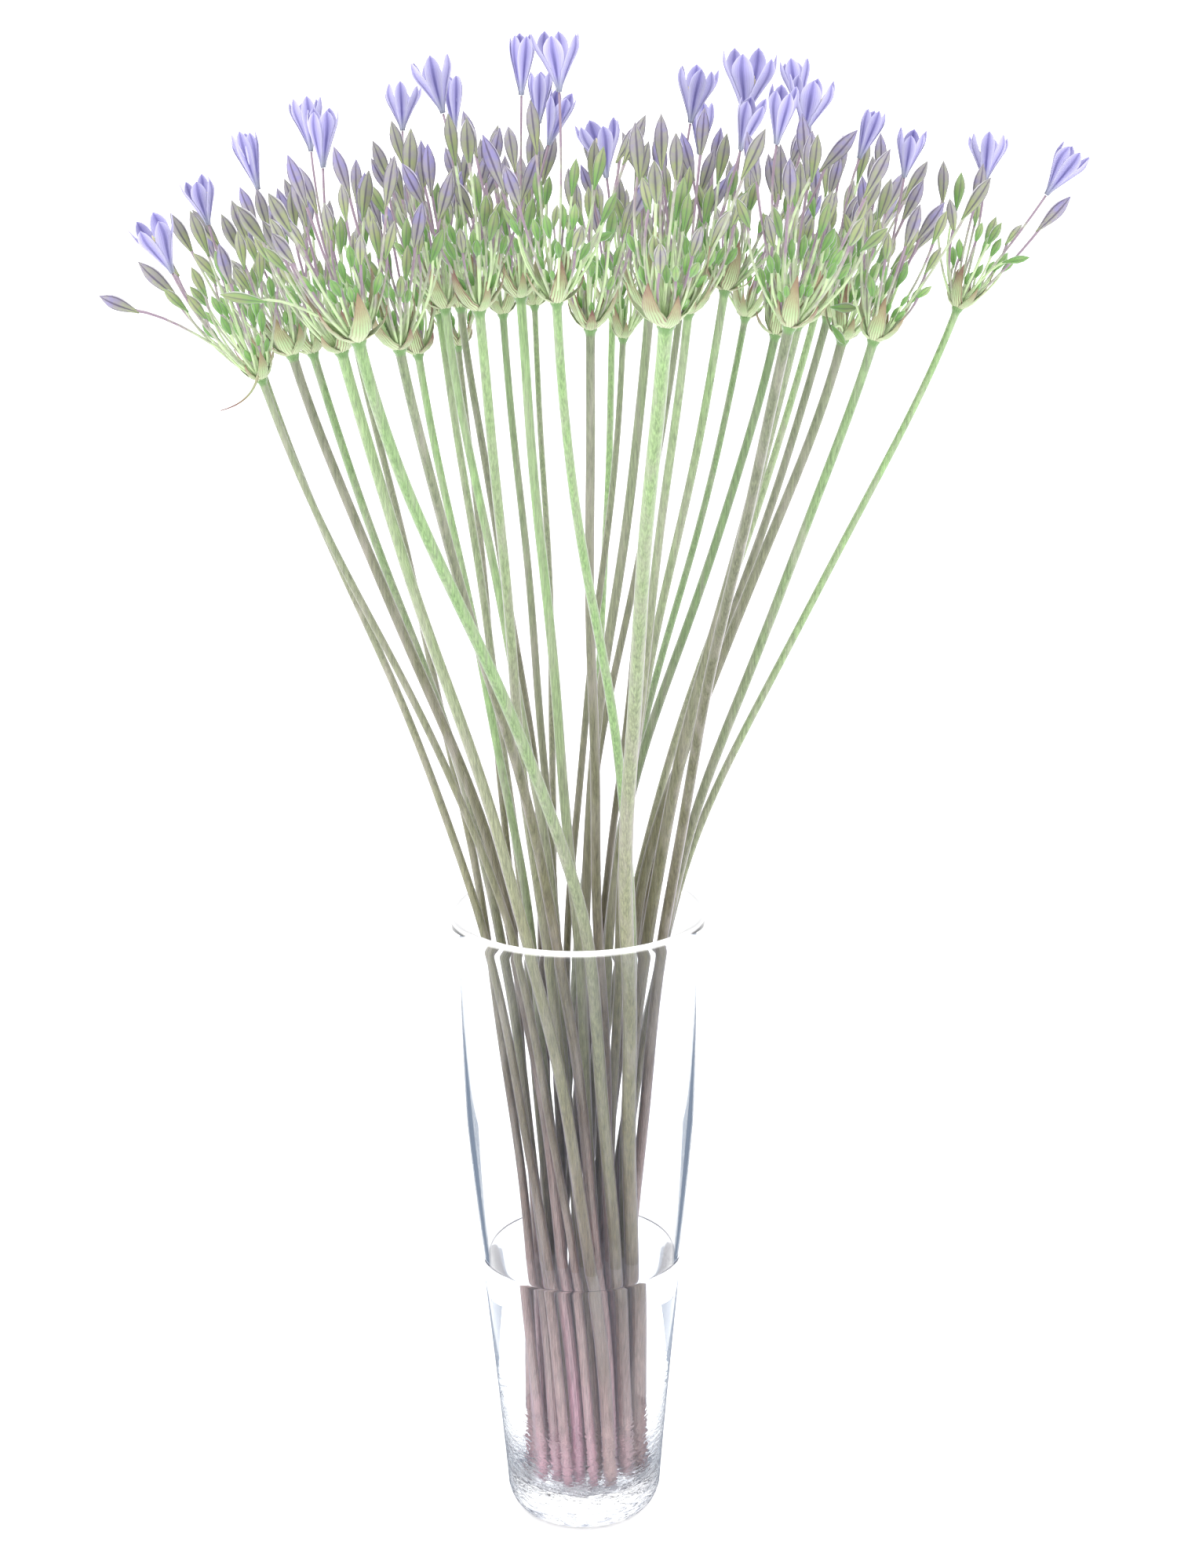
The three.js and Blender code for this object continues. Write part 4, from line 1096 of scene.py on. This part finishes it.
def add_pedicels(pile, rows):
    """Pedicels as thin curved rods that swell at both ends, and buds as ribbed spindles. The small
    buds have fewer faces and no ribs."""
    sizes = bpy.context.scene.head_sizes
    root, bend, neck, tip = (np.array([row[k] for row in rows]) for k in range(4))
    radius, kind, tone = (np.array([row[k] for row in rows], float) for k in (4, 5, 6))
    lines = arc((root, bend, neck), 8)
    t = np.linspace(0, 1, 8)
    ends = 1 + 0.5 * (1 - t) ** 4 + 0.3 * t**6
    thick = sizes.pedicel / MM * ends[None] * (0.78 + 0.3 * radius / 3)[:, None]
    size = kind.astype(int)
    ripe = np.clip(RIPENESS[size] + RIPE_SPREAD[size] * (tone - 0.5), 0, 1)
    purple = np.clip(0.2 + 0.55 * ripe + 0.7 * (tone - 0.4), 0, 1)
    pile.add(round_rings(lines, thick, CROSSWISE, STALK_CORNERS), PEDICEL, tone=purple)
    # Buds start a little below the neck, so that they taper into their pedicels
    low = neck - BUD_TAPER * (tip - neck)
    for chosen, v, corners, rib in (
        (kind < 2, np.array([0, 0.08, 0.2, 0.34, 0.48, 0.6, 0.72, 0.84, 0.93, 1]), 12, sizes.rib),
        (kind >= 2, np.array([0, 0.14, 0.34, 0.56, 0.76, 0.92, 1]), 8, 0),
    ):
        spine = low[chosen, None, :] + (tip - low)[chosen, None, :] * v[None, :, None]
        ridge = 1 + rib * np.cos(6 * round_the(corners))
        radii = radius[chosen, None] * (BUD_GIRTH * spindle_share(v))[None]
        rings = round_rings(spine, radii, CROSSWISE, corners, ridge)
        pile.add(rings, BUD, tone=tone[chosen], ripe=ripe[chosen])


class BRODIAEA_OT_stems(bpy.types.Operator):
    """The thirty-six flowering stems: scape, collar, bracts, pedicels and buds, one piece for each"""

    bl_idname = "brodiaea.stems"
    bl_label = "Flowering stems"

    def execute(self, context):
        materials = [scape_skin(), pedicel_skin(), bud_skin(), bract_paper(), tepal_skin()]
        for i, rows in enumerate(place_pedicels()):
            pile = Pile()
            add_scape(pile, i)
            add_bracts(pile, i)
            add_pedicels(pile, rows)
            for flower in FLOWERS[FLOWERS[:, 0] == i + 1]:
                line = arc(flower_pedicel(flower), 12)[None]
                radii = np.full((1, 12), context.scene.head_sizes.pedicel / MM * 1.1)
                pile.add(round_rings(line, radii, CROSSWISE, STALK_CORNERS), PEDICEL, tone=0.8)
            if i + 1 == CURL_STEM:
                radii = np.linspace(*CURL_RADII, 12)[None]
                rings = round_rings(arc(CURL, 12)[None], radii, CROSSWISE, STALK_CORNERS)
                pile.add(rings, BRACT, tone=1.0)
            for flower in NARROW_FLOWERS[NARROW_FLOWERS[:, 0] == i + 1]:
                add_tepals(pile, flower, NARROW_SEED + i, TEPAL)
            made = pile.piece(f"flowering_stem_{i + 1:02d}", materials)
            finished(made, "stem", f"stem_{i + 1:02d}")
        return {"FINISHED"}


def to_flower(points, flower):
    """Points worked out about +Z with the flower's base at the origin, turned to its axis and
    placed."""
    axis, x, y = leaning(*flower[4:6])
    return flower[1:4] + points[..., :1] * x + points[..., 1:2] * y + points[..., 2:] * axis


def beside(turn, flower):
    """Directions round the flower, at each angle, square to its axis and to the way out."""
    tangent = np.stack([-np.sin(turn), np.cos(turn), 0 * turn], axis=-1)
    return to_flower(tangent, flower) - flower[1:4]


def upright_lines(radius, turn, height, flower):
    """Lines at a radius, an angle and a height round the flower's axis: (radius cos a, radius sin
    a, height)."""
    points = np.stack([radius * np.cos(turn), radius * np.sin(turn), height], axis=-1)
    return to_flower(points, flower)


def add_tepals(pile, flower, seed, kind):
    """Six tepals, joined edge to edge in the tube and free above: each is a thin blade whose middle
    line runs up the funnel, (radius, height), and whose edges bend in round the flower's axis."""
    length, mouth = flower[6], flower[7]
    wall = bpy.context.scene.flower_sizes.wall / MM
    t = np.linspace(0, 1, 17)
    order = np.arange(6)
    inner = order % 2 == 1
    tip_out = mouth * (0.78 + 0.3 * draws(seed, 10, 6)) * np.where(inner, 0.92, 1.05)
    widening = [0.75, 1.1, 1.3 + 0.24 * mouth, 0.9 + 0.6 * mouth, 0.6 + 0.82 * mouth]
    funnel = np.interp(t, [0, 0.1, 0.34, 0.6, 0.8], widening)
    blend = np.clip((t - 0.55) / 0.45, 0, 1) ** 1.4
    radius = funnel[None] * (1 - blend) + tip_out[:, None] * blend + np.where(inner, -0.12, 0.22)[:, None]
    height = t[None] * (length * (0.94 + 0.06 * draws(seed, 20, 6)))[:, None]
    sway = (draws(seed, 30, 6) - 0.5)[:, None] * 0.35 * t[None] ** 2
    turn = np.radians(60 * order + 360 * draw(seed, 5))[:, None] + sway
    shape = np.interp(t, [0, 0.34, 0.5, 0.66, 0.8, 0.92, 1], [0, 0.6, 0.85, 1.0, 0.94, 0.62, 0.03])
    widest = (0.12 * length + 0.1 * mouth) * np.where(inner, 1.12, 0.9)
    widths = np.maximum(shape[None] * widest[:, None], np.where(t < 0.42, 0.6, 0)[None] * radius)
    cups = widths**2 / (2 * np.maximum(radius, 1.2)) * (1 - 0.35 * t)
    lines = upright_lines(radius, turn, height, flower)
    rings = blade_rings(lines, widths, cups, wall, beside(turn, flower), TEPAL_CORNERS)
    pile.add(rings, kind, tone=draws(seed, 40, 6))


def add_middle(pile, flower):
    """The ovary and its style, three stamens with their anthers, and three pale strap-shaped
    staminodes."""
    length, mouth = flower[6], flower[7]
    t = np.linspace(0, 1, 9)
    ovary = np.stack([0 * t, 0 * t, 0.3 + t * length * 0.66], axis=-1)[None]
    swell = np.interp(t, [0, 0.2, 0.42, 0.5, 0.9, 1], [0.6, 1.1, 1.0, 0.4, 0.35, 0.6])[None]
    swell = swell * (0.6 + 0.05 * mouth)
    pile.add(round_rings(to_flower(ovary, flower), swell, (0, 1.0, 0), 8), STYLE, tone=0.2)
    straps_turn = np.radians(120 * np.arange(3))[:, None]
    stamens_turn = np.radians(120 * np.arange(3) + 60)[:, None]
    each = np.zeros((3, 1))
    out = np.interp(t, [0, 1], [0.9, 0.36 * mouth])[None]
    height = (0.2 + 0.42 * t)[None] * length + each
    stamens = upright_lines(out, stamens_turn, height, flower)
    thin = np.interp(t, [0, 0.45, 0.55, 0.75, 0.95, 1], [0.25, 0.22, 0.45, 0.6, 0.4, 0.1])[None] + each
    pile.add(round_rings(stamens, thin, (0, 1.0, 0), 8), POLLEN)
    straps = upright_lines(1.15 * out, straps_turn, height * 1.08, flower)
    wide = np.interp(t, [0, 0.3, 0.7, 1], [0.4, 0.9, 1.0, 0.2])[None] + each
    pile.add(blade_rings(straps, wide, 0.2 * wide, 0.3, beside(straps_turn, flower), 8), POLLEN)


class BRODIAEA_OT_flowers(bpy.types.Operator):
    """The open flowers: six tepals in a funnel, with stamens, staminodes and style inside"""

    bl_idname = "brodiaea.flowers"
    bl_label = "Open flowers"

    def execute(self, context):
        materials = [tepal_skin(), pedicel_skin(), pollen_sacs()]
        for k, flower in enumerate(FLOWERS):
            pile = Pile()
            add_tepals(pile, flower, FLOWER_SEED + k, PETAL)
            add_middle(pile, flower)
            made = pile.piece(f"open_flower_{k + 1:02d}", materials)
            finished(made, "petal", f"bloom_{k + 1:02d}")
        return {"FINISHED"}


def flat_sheet(name, corners, height, material):
    """A flat sheet of the stage: its corners in turn, at one height."""
    mesh = bpy.data.meshes.new(name)
    mesh.from_pydata([(x, y, height) for x, y in corners], [], [(0, 1, 2, 3)])
    mesh.materials.append(material)
    return placed(name, mesh)


class BRODIAEA_OT_stage(bpy.types.Operator):
    """White light table, white surroundings, seven grey cloths that only the glass sees, which paint
    dark reflections and shade into it, a softbox and the camera"""

    bl_idname = "brodiaea.stage"
    bl_label = "Stage"

    def execute(self, context):
        scene = context.scene
        floor = flat_sheet("light_table", TABLE, TABLE_HEIGHT, light_table())
        cloth = shade_flag_cloth()
        for name, corners in FLAGS.items():
            flag = flat_sheet(name, corners, FLAG_HEIGHT, cloth)
            flag.visible_camera = flag.visible_diffuse = flag.visible_shadow = False
            flag.visible_transmission = name != "front_flag"
        world = bpy.data.worlds.new("White studio")
        scene.world = world
        world.use_nodes = True
        world.node_tree.nodes.clear()
        sky = add_node(world.node_tree, "Background", [linear("#ffffff"), WORLD_STRENGTH])
        add_node(world.node_tree, "OutputWorld", [sky])
        key = bpy.data.lights.new("Key softbox", "AREA")
        key.energy, key.size = LAMP_POWER, LAMP_SIZE
        lamp = placed("Key softbox", key)
        lamp.location = LAMP_PLACE
        lamp.rotation_euler = (math.radians(LAMP_TILT), 0, math.radians(LAMP_TURN))
        lens = bpy.data.cameras.new("Camera")
        lens.lens, lens.sensor_width, lens.sensor_fit = LENS, SENSOR, "AUTO"
        lens.clip_start, lens.clip_end = 0.01, 50
        camera = placed("Camera", lens)
        camera.location = CAMERA_PLACE
        camera.rotation_mode = "QUATERNION"
        pitched = Matrix.Rotation(math.radians(CAMERA_TILT), 3, "X")
        camera.rotation_quaternion = (pitched @ Matrix.Rotation(CAMERA_ROLL, 3, "Z")).to_quaternion()
        scene.camera = camera
        scene.view_settings.view_transform = "Standard"
        return {"FINISHED"}


class BRODIAEA_PT_parts(bpy.types.Panel):
    """Sizes, colours and the steps that build the piece."""

    bl_label = "Brodiaea in vase"
    bl_space_type = "VIEW_3D"
    bl_region_type = "UI"
    bl_category = "Brodiaea"

    def draw(self, context):
        for step, groups in STEPS:
            self.layout.operator(step.bl_idname)
            for group in groups:
                for name in GROUPS[group].__annotations__:
                    self.layout.prop(getattr(context.scene, group), name)


STEPS = (
    (BRODIAEA_OT_vase, ["vase_sizes"]),
    (BRODIAEA_OT_water, []),
    (BRODIAEA_OT_stems, ["stem_sizes", "head_sizes"]),
    (BRODIAEA_OT_flowers, ["flower_sizes"]),
    (BRODIAEA_OT_stage, []),
)
GROUPS = {
    "vase_sizes": VaseSizes, "stem_sizes": StemSizes, "head_sizes": HeadSizes,
    "flower_sizes": FlowerSizes,
}
CLASSES = (*GROUPS.values(), *[step for step, _ in STEPS], BRODIAEA_PT_parts)


def register():
    for kind in CLASSES:
        bpy.utils.register_class(kind)
    for name, kind in GROUPS.items():
        setattr(bpy.types.Scene, name, bpy.props.PointerProperty(type=kind))


def unregister():
    for name in GROUPS:
        delattr(bpy.types.Scene, name)
    for kind in reversed(CLASSES):
        bpy.utils.unregister_class(kind)


def main():
    register()
    bpy.ops.brodiaea.vase()
    bpy.ops.brodiaea.water()
    bpy.ops.brodiaea.stems()
    bpy.ops.brodiaea.flowers()
    bpy.ops.brodiaea.stage()


if __name__ == "__main__":
    main()
